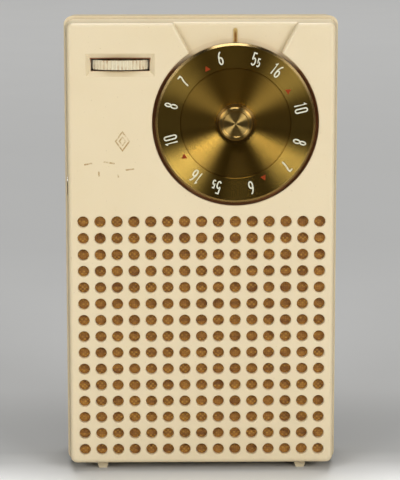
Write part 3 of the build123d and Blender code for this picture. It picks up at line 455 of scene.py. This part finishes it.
def stackedSheets(name, settings):
    # thin layers side by side: a wave along one axis darkens the joints between them and sinks them
    finish = newFinish(name)
    spot = place(finish)
    phase = product(finish, apart(finish, spot)[settings["axis"]], math.tau / settings["pitch"])
    wave = spread(finish, sums(finish, "SINE", phase), -1.0, -0.2, 1.0, 0.0)
    tone = spread(finish, noise(finish, spot, 400.0, 4.0), 0.4, 0.7, 0.0, 0.5)
    mixed = blendColour(finish, tone, settings["colour"], settings["gap"])
    mixed = blendColour(finish, wave, mixed, settings["gap"])
    height = sums(finish, "SUBTRACT", 1.0, wave)
    setShader(finish, Base_Color=mixed, Metallic=settings["metallic"], Roughness=settings["rough"],
              Normal=relief(finish, height, 0.8, settings["pitch"] * 0.2))
    return finish


board = {
    "paper": (0.30, 0.165, 0.06),
    "fibre": (0.20, 0.10, 0.035),
    "fibreScale": 500.0,
    "tinned": (0.50, 0.42, 0.30),
    "trackScale": 170.0,
    "trackEdge": (0.13, 0.16),
    "depth": 0.05 * mm,
}


def boardLaminate(name, settings):
    # brown paper laminate; on the side that looks forward, tinned tracks wherever the distance to the
    # nearest edge of a coarse pattern of cells is large enough
    finish = newFinish(name)
    fibre = noise(finish, place(finish, scale=(1.0, 1.0, 5.0)), settings["fibreScale"], 5.0, 0.65)
    colour = blendColour(finish, spread(finish, fibre, 0.35, 0.65), settings["paper"], settings["fibre"])
    cells = addNode(
        finish, "ShaderNodeTexVoronoi", {"Vector": place(finish), "Scale": settings["trackScale"]},
        feature="DISTANCE_TO_EDGE", distance="EUCLIDEAN",
    ).outputs["Distance"]
    track = spread(finish, cells, *settings["trackEdge"])
    facing = apart(finish, addNode(finish, "ShaderNodeNewGeometry").outputs["Normal"])[1]
    copper = product(finish, track, spread(finish, facing, -0.5, -0.9))
    colour = blendColour(finish, copper, colour, settings["tinned"])
    rough = spread(finish, fibre, 0.3, 0.7, 0.35, 0.55)
    height = sums(finish, "ADD", copper, product(finish, fibre, 0.25))
    setShader(finish, Base_Color=colour, Metallic=product(finish, copper, 0.85), Roughness=rough,
              Normal=relief(finish, height, 1.0, settings["depth"]))
    return finish


conePulp = {"dark": (0.035, 0.03, 0.027), "pale": (0.075, 0.065, 0.055), "fibreScale": 900.0,
            "ringPitch": 1.9 * mm, "depth": 0.12 * mm, "rough": 0.92}


def conePaper(name, settings):
    # pressed pulp: fibrous noise, with shallow rings that are a wave of the distance from the axis
    finish = newFinish(name)
    low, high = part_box("speaker_cone")
    radius = fromAxis(finish, ((low.x + high.x) / 2, 0, (low.z + high.z) / 2), "Y")[0]
    fibre = noise(finish, place(finish), settings["fibreScale"], 5.0, 0.7, 0.8)
    colour = blendColour(finish, spread(finish, fibre, 0.35, 0.65), settings["dark"], settings["pale"])
    ring = sums(finish, "SINE", product(finish, radius, math.tau / settings["ringPitch"]))
    height = sums(finish, "ADD", product(finish, ring, 0.5), fibre)
    setShader(finish, Base_Color=colour, Roughness=settings["rough"],
              Normal=relief(finish, height, 0.7, settings["depth"]))
    return finish


jacket = {
    "red": (0.47, 0.06, 0.025),
    "blue": (0.025, 0.05, 0.16),
    "line": (0.70, 0.62, 0.42),
    "lineHalf": (0.9 * mm, 1.0 * mm),
    "bare": (0.45, 0.43, 0.40),
    "split": (0.335, 0.34),
    "dent": 0.15 * mm,
}


def batteryJacket(name, settings):
    # a printed steel jacket: the colour changes at one share of the length, with a thin pale line there,
    # and the metal shows where a rough noise is high
    finish = newFinish(name)
    low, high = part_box("battery")
    spot = place(finish, (low.x, low.y, low.z))
    along = apart(finish, spot)[0]
    start, end = (share * (high.x - low.x) for share in settings["split"])
    block = spread(finish, along, start, end)
    colour = blendColour(finish, block, settings["red"], settings["blue"])
    middle = sums(finish, "ABSOLUTE", sums(finish, "SUBTRACT", along, (start + end) / 2))
    line = spread(finish, middle, *settings["lineHalf"], 1.0, 0.0)
    colour = blendColour(finish, line, colour, settings["line"])
    rub = spread(finish, noise(finish, place(finish), 260.0, 6.0, 0.7), 0.60, 0.72)
    colour = blendColour(finish, product(finish, rub, 0.5), colour, settings["bare"])
    rough = spread(finish, noise(finish, spot, 200.0, 4.0), 0.3, 0.7, 0.28, 0.45)
    dent = relief(finish, noise(finish, spot, 70.0, 2.0), 1.0, settings["dent"])
    setShader(finish, Base_Color=colour, Roughness=rough, Metallic=product(finish, rub, 0.4), Normal=dent)
    return finish


diode = {"amber": (0.55, 0.42, 0.30), "clear": (0.75, 0.70, 0.62), "scale": 900.0}


def diodeGlass(name, settings):
    # glass that lets about a third of the light through, mottled between two tones by a fine noise
    finish = newFinish(name)
    mottle = spread(finish, noise(finish, place(finish), settings["scale"]), 0.4, 0.6)
    colour = blendColour(finish, mottle, settings["amber"], settings["clear"])
    setShader(finish, Base_Color=colour, Roughness=0.06, Transmission_Weight=0.35, IOR=1.5)
    return finish


coilWire = {"node": "antenna_coil", "axis": 0, "pitch": 0.45 * mm, "colour": (0.42, 0.15, 0.05),
            "gap": (0.12, 0.035, 0.012), "metallic": 0.7, "rough": 0.32}


def fineWire(name, settings):
    # close turns of enamelled wire: each turn is one period of a wave along the winding
    finish = newFinish(name)
    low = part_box(settings["node"])[0]
    spot = place(finish, (low.x, low.y, low.z))
    phase = product(finish, apart(finish, spot)[settings["axis"]], math.tau / settings["pitch"])
    wave = sums(finish, "SINE", phase)
    shade = spread(finish, wave, -1.0, 0.3, 1.0, 0.0)
    tone = spread(finish, noise(finish, spot, 300.0, 3.0), 0.4, 0.7, 0.0, 0.4)
    mixed = blendColour(finish, sums(finish, "MAXIMUM", tone, shade), settings["colour"], settings["gap"])
    setShader(finish, Base_Color=mixed, Metallic=settings["metallic"], Roughness=settings["rough"],
              Normal=relief(finish, wave, 0.9, settings["pitch"] * 0.25))
    return finish


print("finishes")
finishes = {
    "ivory_case": mouldedIvory("ivoryCase", ivory, oldDirtAndShade),
    "gilt_dial": turnedGilt("giltDial", gilt, ringRadius=discRadius),
    "gilt_hub": turnedGilt("giltHub", hubGilt),
    "board": boardLaminate("boardLaminate", board),
    "paper": conePaper("conePaper", conePulp),
    "copper": fineWire("enamelWire", coilWire),
    "battery_jacket": batteryJacket("batteryJacket", jacket),
    "diode_glass": diodeGlass("diodeGlass", diode),
    "core_iron": stackedSheets("coreIron", coreIron),
}
for slotName, settings in metals.items():
    finishes[slotName] = platedMetal(slotName + "Plated", settings)
for slotName, settings in bodies.items():
    finishes[slotName] = plainBody(slotName + "Body", settings)


wheelFinish = {"colour": (0.70, 0.63, 0.45), "brown": (0.36, 0.17, 0.05), "fluteDepth": 0.32 * mm}


def flutedIvory(name, settings):
    # ivory on the ridges, painted shade and old brown dirt where the distance from the axis falls into the
    # flutes
    finish = newFinish(name)
    wheelRadius = (wheelHigh.x - wheelLow.x) / 2
    radius = fromAxis(finish, (wheelX, wheelY, 0), "Z")[0]
    spot = place(finish)
    inFlute = spread(finish, radius, wheelRadius - 0.05 * mm, wheelRadius - settings["fluteDepth"])
    # painted shade and dirt in the flutes, patchy by a noise
    shadeAndDirt = spread(finish, noise(finish, spot, 330.0, 2.0), 0.48, 0.66, 0.06, 1.0)
    cloud = spread(finish, noise(finish, spot, 150.0, 3.0), 0.4, 0.7, 0.0, 0.5)
    colour = blendColour(finish, cloud, settings["colour"], ivory["aged"])
    colour = blendColour(finish, product(finish, inFlute, shadeAndDirt), colour, settings["brown"])
    grain = relief(finish, noise(finish, spot, 1200.0), 1.0, 0.02 * mm)
    setShader(finish, Base_Color=colour, Roughness=0.42, Normal=grain)
    return finish


finishes["ivory_wheel"] = flutedIvory("flutedIvory", wheelFinish)


cloth = {
    "threadPitch": 0.62 * mm,
    "light": (0.38, 0.165, 0.018),
    "dark": (0.20, 0.07, 0.003),
    # painted highlight colour for streaks on the warp
    "gold": (0.60, 0.32, 0.045),
    "wander": 0.12 * mm,
    "bulge": 0.12 * mm,
    "inset": 0.02 * mm,
    "cell": (4.7 * mm, 4.65 * mm),
    "grilleMiddle": 38.1 * mm,
    "columns": 128,
    "cornerRadius": 1.3 * mm,
}


def wovenCloth(name, settings):
    # plain weave: two crossed waves, each thread over where the product of both phases is positive
    finish = newFinish(name)
    spot = place(finish, turn=(0, 2.0, 0))
    wobble = addNode(finish, "ShaderNodeTexNoise", {"Vector": spot, "Scale": 300.0, "Detail": 2.0})
    wander = (settings["wander"],) * 3
    shift = addNode(finish, "ShaderNodeVectorMath", {0: wobble.outputs["Color"], 1: wander},
                    operation="MULTIPLY").outputs[0]
    moved = addNode(finish, "ShaderNodeVectorMath", {0: spot, 1: shift}, operation="ADD").outputs[0]
    parts = apart(finish, moved)
    turns = math.pi / settings["threadPitch"]
    warp = sums(finish, "SINE", product(finish, parts[0], turns))
    weft = sums(finish, "SINE", product(finish, parts[2], turns))
    over = product(finish, warp, weft)
    height = sums(finish, "ABSOLUTE", over)
    isWarp = spread(finish, over, -0.15, 0.15)
    mottle = noise(finish, place(finish, scale=(0.4, 1.0, 1.3)), 560.0, 2.0, 0.5)
    colour = blendColour(finish, spread(finish, mottle, 0.34, 0.64), settings["dark"], settings["light"])
    slub = noise(finish, place(finish, scale=(0.16, 1.0, 1.0)), 1500.0, 2.0)
    # painted highlight: the warp turns gold where a stretched noise is high, and slightly metallic there
    shine = product(finish, isWarp, spread(finish, slub, 0.42, 0.66))
    colour = blendColour(finish, product(finish, shine, 0.7), colour, settings["gold"])
    gap = spread(finish, height, 0.0, 0.3, 0.3, 0.0)
    colour = blendColour(finish, gap, colour, tuple(0.3 * c for c in settings["dark"]))
    setShader(finish, Base_Color=colour, Roughness=0.6, Normal=relief(finish, height, 1.0, 0.07 * mm),
              Sheen_Weight=0.15, Metallic=product(finish, shine, 0.2))
    return finish


finishes["grille_cloth"] = wovenCloth("wovenCloth", cloth)


def clothSheet(settings):
    # front(u, v): a rounded rectangle whose rows are as wide as its outline at that height, swelling by a
    # raised cosine in each grille hole; the back is the same grid, flat, joined to it along the edge
    low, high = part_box("grille_cloth")
    count = settings["columns"]
    u = np.linspace(-1.0, 1.0, count + 1)
    v = np.linspace(0.0, 1.0, count + 1)
    z = low.z + (high.z - low.z) * v
    corner = settings["cornerRadius"]
    into = np.maximum(0.0, corner - np.minimum(z - low.z, high.z - z))
    half = (high.x - low.x) / 2 - (corner - np.sqrt(np.maximum(0.0, corner ** 2 - into ** 2)))
    x = (low.x + high.x) / 2 + half[:, None] * u[None, :]
    zz = np.repeat(z[:, None], count + 1, axis=1)
    cellX, cellZ = settings["cell"]
    fromMiddle = zz - (caseLow.z + settings["grilleMiddle"])
    swell = (0.5 + 0.5 * np.cos(math.tau * x / cellX)) * (0.5 + 0.5 * np.cos(math.tau * fromMiddle / cellZ))
    front = np.full_like(x, low.y + settings["inset"]) + settings["bulge"] * (1.0 - swell ** 0.7)
    back = np.full_like(x, high.y)
    points = np.concatenate([
        np.stack([x, front, zz], -1).reshape(-1, 3), np.stack([x, back, zz], -1).reshape(-1, 3),
    ])
    under = (count + 1) ** 2
    index = np.arange(under).reshape(count + 1, count + 1)
    a, b, c, d = index[:-1, :-1], index[:-1, 1:], index[1:, 1:], index[1:, :-1]
    frontFaces = np.stack([a, b, c, d], -1).reshape(-1, 4)
    backFaces = frontFaces[:, ::-1] + under
    loop = np.concatenate([index[0, :-1], index[:-1, -1], index[-1, :0:-1], index[:0:-1, 0]])
    after = np.roll(loop, -1)
    rim = np.stack([loop, loop + under, after + under, after], -1)
    faces = np.concatenate([frontFaces, backFaces, rim])
    return makeMesh("grille_weave", points, faces)


def makeMesh(name, points, faces, smooth=True):
    mesh = bpy.data.meshes.new(name)
    mesh.from_pydata(points.tolist(), [], faces.tolist())
    mesh.polygons.foreach_set("use_smooth", [smooth] * len(mesh.polygons))
    mesh.update()
    piece = bpy.data.objects.new(name, mesh)
    bpy.context.scene.collection.objects.link(piece)
    return piece


print("grille cloth")
weave = clothSheet(cloth)
weave.data.materials.append(finishes["grille_cloth"])
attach(weave, "case")
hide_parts("grille_cloth")


numerals = {
    "colour": (0.66, 0.65, 0.52),
    "rubbed": (0.36, 0.31, 0.18),
    "height": 3.36 * mm,
    "width": 0.98 * mm,
    "stroke": 0.37 * mm,
    "thick": 0.05 * mm,
    "overlapDrop": 0.3,
    "radius": 18.4 * mm,
    "spacing": 1.75,
    "tighten": {"16": 0.82, "10": 0.86},
    "smallStroke": 0.9,
    "smallShare": 0.64,
    "half": (("55", 18.0), ("16", 37.6), ("10", 76.8), ("8", 106.6), ("7", 130.2), ("6", 166.3)),
    "otherHalfShift": (-1.0, -1.1, -1.3, -1.1, -1.2, 0.5),
}
triangles = {"colour": (0.27, 0.03, 0.0), "rubbed": (0.12, 0.02, 0.008), "side": 1.6 * mm,
             "radius": 16.9 * mm, "thick": 0.05 * mm, "angles": (58.4, 152.6, 236.9, 332.4)}
printSunk = -0.01 * mm  # how far the print reaches into the dial


def arc(centreX, centreY, reachX, reachY, start, end, count=14):
    # points of an ellipse between two angles, in degrees from +x towards +y
    angle = np.radians(np.linspace(start, end, count))
    return np.stack([centreX + reachX * np.cos(angle), centreY + reachY * np.sin(angle)], -1)


def strokes(digit):
    # centre lines of a narrow numeral in a box of half-width 1 and half-height 1, as (points, closed)
    if digit == "0":
        top = arc(0, 0.68, 1, 0.32, 180, 0)
        bottom = arc(0, -0.68, 1, 0.32, 0, -180)
        return [(np.concatenate([top, bottom]), True)]
    if digit == "1":
        return [(np.array([[-0.7, 0.66], [0.05, 1.0], [0.05, -1.0]]), False)]
    if digit == "5":
        bar = np.array([[0.85, 1.0], [-0.85, 1.0], [-0.9, 0.02]])
        bowl = arc(0, -0.42, 1, 0.58, 140, -145)
        return [(np.concatenate([bar, bowl]), False)]
    if digit == "6":
        stem = arc(0.7, -0.4, 1.7, 1.4, 92, 180)
        bowl = arc(0, -0.45, 1, 0.55, 180, 540, 26)[:-1]
        return [(stem, False), (bowl, True)]
    if digit == "7":
        bar = np.array([[-1.0, 1.0], [0.95, 1.0]])
        leg = arc(2.6, -1.0, 2.85, 1.95, 125, 180, 8)
        return [(np.concatenate([bar, leg]), False)]
    upper = arc(0, 0.53, 0.86, 0.47, -90, 270, 22)[:-1]
    lower = arc(0, -0.47, 1, 0.53, -90, 270, 24)[:-1]
    return [(upper, True), (lower, True)]


def ribbon(line, closed, width, low, high):
    # a rectangle carried along a flat line: each point gives its left and right edge, near and far
    ahead = np.roll(line, -1, axis=0) - line
    behind = line - np.roll(line, 1, axis=0)
    if not closed:
        ahead[-1] = behind[-1]
        behind[0] = ahead[0]
    ahead /= np.linalg.norm(ahead, axis=1, keepdims=True)
    behind /= np.linalg.norm(behind, axis=1, keepdims=True)
    way = ahead + behind
    way /= np.linalg.norm(way, axis=1, keepdims=True)
    side = np.stack([-way[:, 1], way[:, 0]], -1)
    stretch = np.clip(1.0 / np.sum(way * ahead, axis=1), 1.0, 1.5)[:, None]
    left = line + side * stretch * width / 2
    right = line - side * stretch * width / 2
    count = len(line)
    ring = [np.column_stack([left, np.full(count, high)]), np.column_stack([right, np.full(count, high)]),
            np.column_stack([right, np.full(count, low)]), np.column_stack([left, np.full(count, low)])]
    points = np.stack(ring, 1).reshape(-1, 3)
    steps = np.arange(count if closed else count - 1)
    after = (steps + 1) % count
    faces = []
    for corner in range(4):
        nextCorner = (corner + 1) % 4
        faces.append(np.stack([4 * steps + corner, 4 * steps + nextCorner, 4 * after + nextCorner,
                               4 * after + corner], -1))
    if not closed:
        faces.append(np.array([[3, 2, 1, 0]]))
        faces.append(np.array([[0, 1, 2, 3]]) + 4 * (count - 1))
    return points, np.concatenate(faces)


def onDial(points, angle, radius):
    # a drawing point (x, y, height) goes to the dial: y points outwards at the clock angle, and height
    # points towards the viewer
    turn = math.radians(angle)
    out = np.array([math.sin(turn), 0.0, math.cos(turn)])
    right = np.array([math.cos(turn), 0.0, -math.sin(turn)])
    forward = np.array([0.0, -1.0, 0.0])
    centre = np.array([dialX, dialLow.y, dialZ]) + radius * out
    return centre + points[:, :1] * right + points[:, 1:2] * out + points[:, 2:] * forward


def gather(name, parts):
    # several small solids as one piece
    points = np.concatenate([p for p, f in parts])
    starts = np.cumsum([0] + [len(p) for p, f in parts[:-1]])
    faces = np.concatenate([f + start for (p, f), start in zip(parts, starts)])
    return makeMesh(name, points, faces, smooth=False)


def numeralParts(text, angle, settings):
    # figures set side by side about the number's own centre; a repeated 5 has its second figure small
    width, height, stroke = settings["width"], settings["height"], settings["stroke"]
    sizes = [1.0, settings["smallShare"]] if text == "55" else [1.0] * len(text)
    advances = [size * width + stroke * settings["spacing"] for size in sizes]
    advances[0] *= settings["tighten"].get(text, 1.0)
    start = -sum(advances) / 2
    parts = []
    for digit, size, advance in zip(text, sizes, advances):
        middle = start + advance / 2
        start += advance
        rise = -(1 - size) * height / 2
        for layer, (line, closed) in enumerate(strokes(digit)):
            flat = line * np.array([size * width / 2, size * height / 2]) + np.array([middle, rise])
            # strokes that cross lie at different heights
            top = settings["thick"] * (1.0 - settings["overlapDrop"] * layer)
            broad = stroke * (settings["smallStroke"] if size < 1 else 1.0)
            points, faces = ribbon(flat, closed, broad, printSunk, top)
            parts.append((onDial(points, angle, settings["radius"]), faces))
    return parts


def printedPaint(name, settings, scale):
    # paint that falls back to its rubbed tone where a rough noise is high, with the same noise in relief
    finish = newFinish(name)
    wear = spread(finish, noise(finish, place(finish), scale, 5.0, 0.7), 0.5, 0.72)
    mixed = blendColour(finish, wear, settings["colour"], settings["rubbed"])
    setShader(finish, Base_Color=mixed, Roughness=0.6, Specular_IOR_Level=0.2,
              Normal=relief(finish, wear, 0.6, 0.01 * mm))
    return finish


print("dial printing")
printed = []
for (text, angle), shift in zip(numerals["half"], numerals["otherHalfShift"]):
    printed += numeralParts(text, angle, numerals)
    printed += numeralParts(text, angle + 180 + shift, numerals)
figures = gather("dial_numerals", printed)
figures.data.materials.append(printedPaint("numeralPaint", numerals, 900.0))
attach(figures, "dial")


def triangleSolid(angle, settings):
    # a thin plate with three even sides, one corner pointing outwards
    thirds = np.radians([0, 120, 240])
    corners = settings["side"] / math.sqrt(3) * np.stack([np.sin(thirds), np.cos(thirds)], -1)
    points = np.concatenate([np.column_stack([corners, [settings["thick"]] * 3]),
                             np.column_stack([corners, [printSunk] * 3])])
    faces = [[0, 2, 1], [3, 4, 5], [0, 1, 4, 3], [1, 2, 5, 4], [2, 0, 3, 5]]
    return onDial(points, angle, settings["radius"]), faces


trianglePoints, triangleFaces = [], []
for angle in triangles["angles"]:
    points, faces = triangleSolid(angle, triangles)
    triangleFaces += [[index + len(points) * len(trianglePoints) for index in face] for face in faces]
    trianglePoints.append(points)
mesh = bpy.data.meshes.new("dial_triangles")
mesh.from_pydata(np.concatenate(trianglePoints).tolist(), [], triangleFaces)
mesh.update()
marks = bpy.data.objects.new("dial_triangles", mesh)
bpy.context.scene.collection.objects.link(marks)
marks.data.materials.append(printedPaint("triangleRed", triangles, 700.0))
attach(marks, "dial")


wornMark = {
    "gold": (0.40, 0.25, 0.09),
    "bare": (0.70, 0.58, 0.37),
    "centre": (-21.8 * mm, 94.2 * mm),
    "lozenge": ((0.0, 2.6), (1.9, 0.0), (0.0, -2.6), (-1.9, 0.0)),
    "innerLozenge": ((0.0, 1.15), (0.85, 0.0), (0.0, -1.15), (-0.85, 0.0)),
    "dashes": (((-10.6, -6.5), (-8.4, -6.1)), ((-5.3, -5.7), (-2.2, -6.2)), ((-6.6, -8.4), (-6.5, -9.8)),
               ((-1.3, -9.2), (-1.2, -10.1)), ((0.8, -8.0), (3.2, -7.7))),
    "stroke": 0.42 * mm,
    "thick": 0.012 * mm,
    "sunk": -0.02 * mm,
}


def faceRibbon(line, closed, settings):
    # a flat ribbon on the front face: drawing x is X, drawing y is Z, the third value stands off the face
    line = np.array(line) * mm
    points, faces = ribbon(line, closed, settings["stroke"], settings["sunk"], settings["thick"])
    centreX, centreZ = settings["centre"]
    spots = np.column_stack([centreX + points[:, 0], faceY - points[:, 2], centreZ + points[:, 1]])
    return spots, faces


def wornGold(name, settings):
    # gold print rubbed through: where a noise is high the colour falls back to the ivory under it
    finish = newFinish(name)
    rub = spread(finish, noise(finish, place(finish), 600.0, 4.0, 0.7), 0.46, 0.62)
    mixed = blendColour(finish, rub, settings["gold"], settings["bare"])
    setShader(finish, Base_Color=mixed, Roughness=0.5, Metallic=0.0)
    return finish


print("worn mark")
markParts = [faceRibbon(wornMark[outline], True, wornMark) for outline in ("lozenge", "innerLozenge")]
markParts += [faceRibbon(dash, False, wornMark) for dash in wornMark["dashes"]]
mark = gather("worn_mark", markParts)
mark.data.materials.append(wornGold("wornGold", wornMark))
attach(mark, "case")


# painted shade: the index's dark brown lower middle, below its lit top
pointer = {
    "gilt": (0.66, 0.46, 0.16),
    "rubbed": (0.27, 0.11, 0.02),
    "coreHalf": (0.38 * mm, 0.26 * mm),
    "coreTop": (3.5 * mm, 2.4 * mm),
}


def indexGilt(name, settings):
    # bright along the edges and top, a painted highlight; painted shade in dark brown where the distance
    # from the middle line is small and the height is low
    finish = newFinish(name)
    low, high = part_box("dial_index")
    parts = apart(finish, place(finish, ((low.x + high.x) / 2, 0, low.z)))
    aside = sums(finish, "ABSOLUTE", parts[0])
    # painted shade low along the middle, leaving a painted highlight along the top
    core = product(finish, spread(finish, aside, *settings["coreHalf"]),
                   spread(finish, parts[2], *settings["coreTop"]))
    blotch = spread(finish, noise(finish, place(finish), 900.0, 3.0), 0.3, 0.6, 0.75, 1.0)
    mixed = blendColour(finish, product(finish, core, blotch), settings["gilt"], settings["rubbed"])
    setShader(finish, Base_Color=mixed, Metallic=0.35, Roughness=0.42)
    return finish


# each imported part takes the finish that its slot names
for name, node in frame["nodes"].items():
    used = node.material_slots[0].material.name.split(".")[0] if node.material_slots else ""
    if used in finishes:
        node.material_slots[0].material = finishes[used]
    else:
        print("no finish for", name, used)
frame["nodes"]["dial_index"].material_slots[0].material = indexGilt("indexGilt", pointer)

floorFinish = {
    # the darker band just behind the radio is painted shade
    "ramp": ((-0.30, 0.97), (-0.028, 0.97), (0.0, 0.37), (0.045, 0.40), (0.085, 0.49), (0.16, 0.50),
             (0.35, 0.475), (0.7, 0.505), (2.5, 0.765)),
    "halfWidth": 3.0,
    "reach": (-1.5, 4.5),
    "tint": 0.985,
    "dust": (0.3, 0.3, 0.3),
    "tableEdge": (-0.08, -0.42),
    "tableTone": (0.09, 0.07, 0.03),
    "roomTone": (0.006, 0.004, 0.002),
}


def paleFloor(settings):
    # a flat sheet whose tone is a curve of the distance behind the radio: pale in front, a darker band of
    # painted shade just behind the radio, paler again far back
    finish = newFinish("paleFloor")
    depth = apart(finish, place(finish))[1]
    first, last = settings["ramp"][0][0], settings["ramp"][-1][0]
    share = spread(finish, depth, first, last)
    band = addNode(finish, "ShaderNodeValToRGB", {"Fac": share})
    stops = band.color_ramp.elements
    while len(stops) < len(settings["ramp"]):
        stops.new(0.5)
    for stop, (distance, tone) in zip(stops, settings["ramp"]):
        stop.position = (distance - first) / (last - first)
        stop.color = (tone, tone, tone * settings["tint"], 1.0)
    dusty = spread(finish, noise(finish, place(finish), 14.0, 4.0), 0.3, 0.7, 0.0, 0.03)
    colour = blendColour(finish, dusty, band.outputs["Color"], settings["dust"])
    # reflections see a dark room beyond the table's front edge
    reflected = addNode(finish, "ShaderNodeLightPath").outputs["Is Glossy Ray"]
    beyond = spread(finish, depth, *settings["tableEdge"])
    room = blendColour(finish, beyond, settings["tableTone"], settings["roomTone"])
    colour = blendColour(finish, reflected, colour, room)
    setShader(finish, Base_Color=colour, Roughness=0.85, Specular_IOR_Level=0.15)
    side = settings["halfWidth"]
    near, far = settings["reach"]
    points = np.array([[-side, near, 0.0], [side, near, 0.0], [side, far, 0.0], [-side, far, 0.0]])
    floor = makeMesh("pale_floor", points, np.array([[0, 1, 2, 3]]), smooth=False)
    floor.data.materials.append(finish)


paleFloor(floorFinish)

studio = {
    "aim": (0.0, 0.0, 0.07),
    "world": 0.008,
    "worldTone": (1.0, 0.85, 0.65),
    "backdrop": (0.44, 0.44, 0.435),
    "left": {"at": (-1.55, -2.1, 1.05), "size": 1.1, "power": 29.4},
    "right": {"at": (1.55, -2.1, 1.05), "size": 1.1, "power": 37.0},
    "overhead": {"at": (-0.1, -0.7, 2.0), "size": 1.0, "power": 9.0},
    "top": {"at": (0.1, 1.6, 3.4), "size": 2.4, "power": 90.0},
}


def softLight(name, settings):
    lamp = bpy.data.lights.new(name, "AREA")
    lamp.shape = "SQUARE"
    lamp.size = settings["size"]
    lamp.energy = settings["power"]
    thing = bpy.data.objects.new(name, lamp)
    thing.location = settings["at"]
    aim = Vector(studio["aim"]) - Vector(settings["at"])
    thing.rotation_euler = aim.to_track_quat("-Z", "Y").to_euler()
    bpy.context.scene.collection.objects.link(thing)


for name in ("left", "right", "overhead", "top"):
    softLight(name + "Light", studio[name])
world = bpy.data.worlds.new("studioGrey")
world.use_nodes = True
seen = addNode(world, "ShaderNodeLightPath").outputs["Is Camera Ray"]
glow = tuple(studio["world"] * part for part in studio["worldTone"])
backdrop = blendColour(world, seen, glow, studio["backdrop"])
world.node_tree.links.new(backdrop, world.node_tree.nodes["Background"].inputs[0])
bpy.context.scene.world = world
bpy.context.scene.view_settings.view_transform = "Standard"

viewpoint = {"at": (-0.0086, -0.59244, 0.16794), "turn": (80.288, 0.04, -0.7975), "lens": 162.1}
camera = bpy.data.cameras.new("frontCamera")
camera.lens = viewpoint["lens"]
camera.sensor_width = 36.0
camera.clip_start = 0.01
camera.clip_end = 20.0
cameraThing = bpy.data.objects.new("frontCamera", camera)
cameraThing.location = (viewpoint["at"][0], faceY + viewpoint["at"][1], viewpoint["at"][2])
cameraThing.rotation_euler = Euler([math.radians(a) for a in viewpoint["turn"]])
bpy.context.scene.collection.objects.link(cameraThing)
bpy.context.scene.camera = cameraThing
print("stage set")
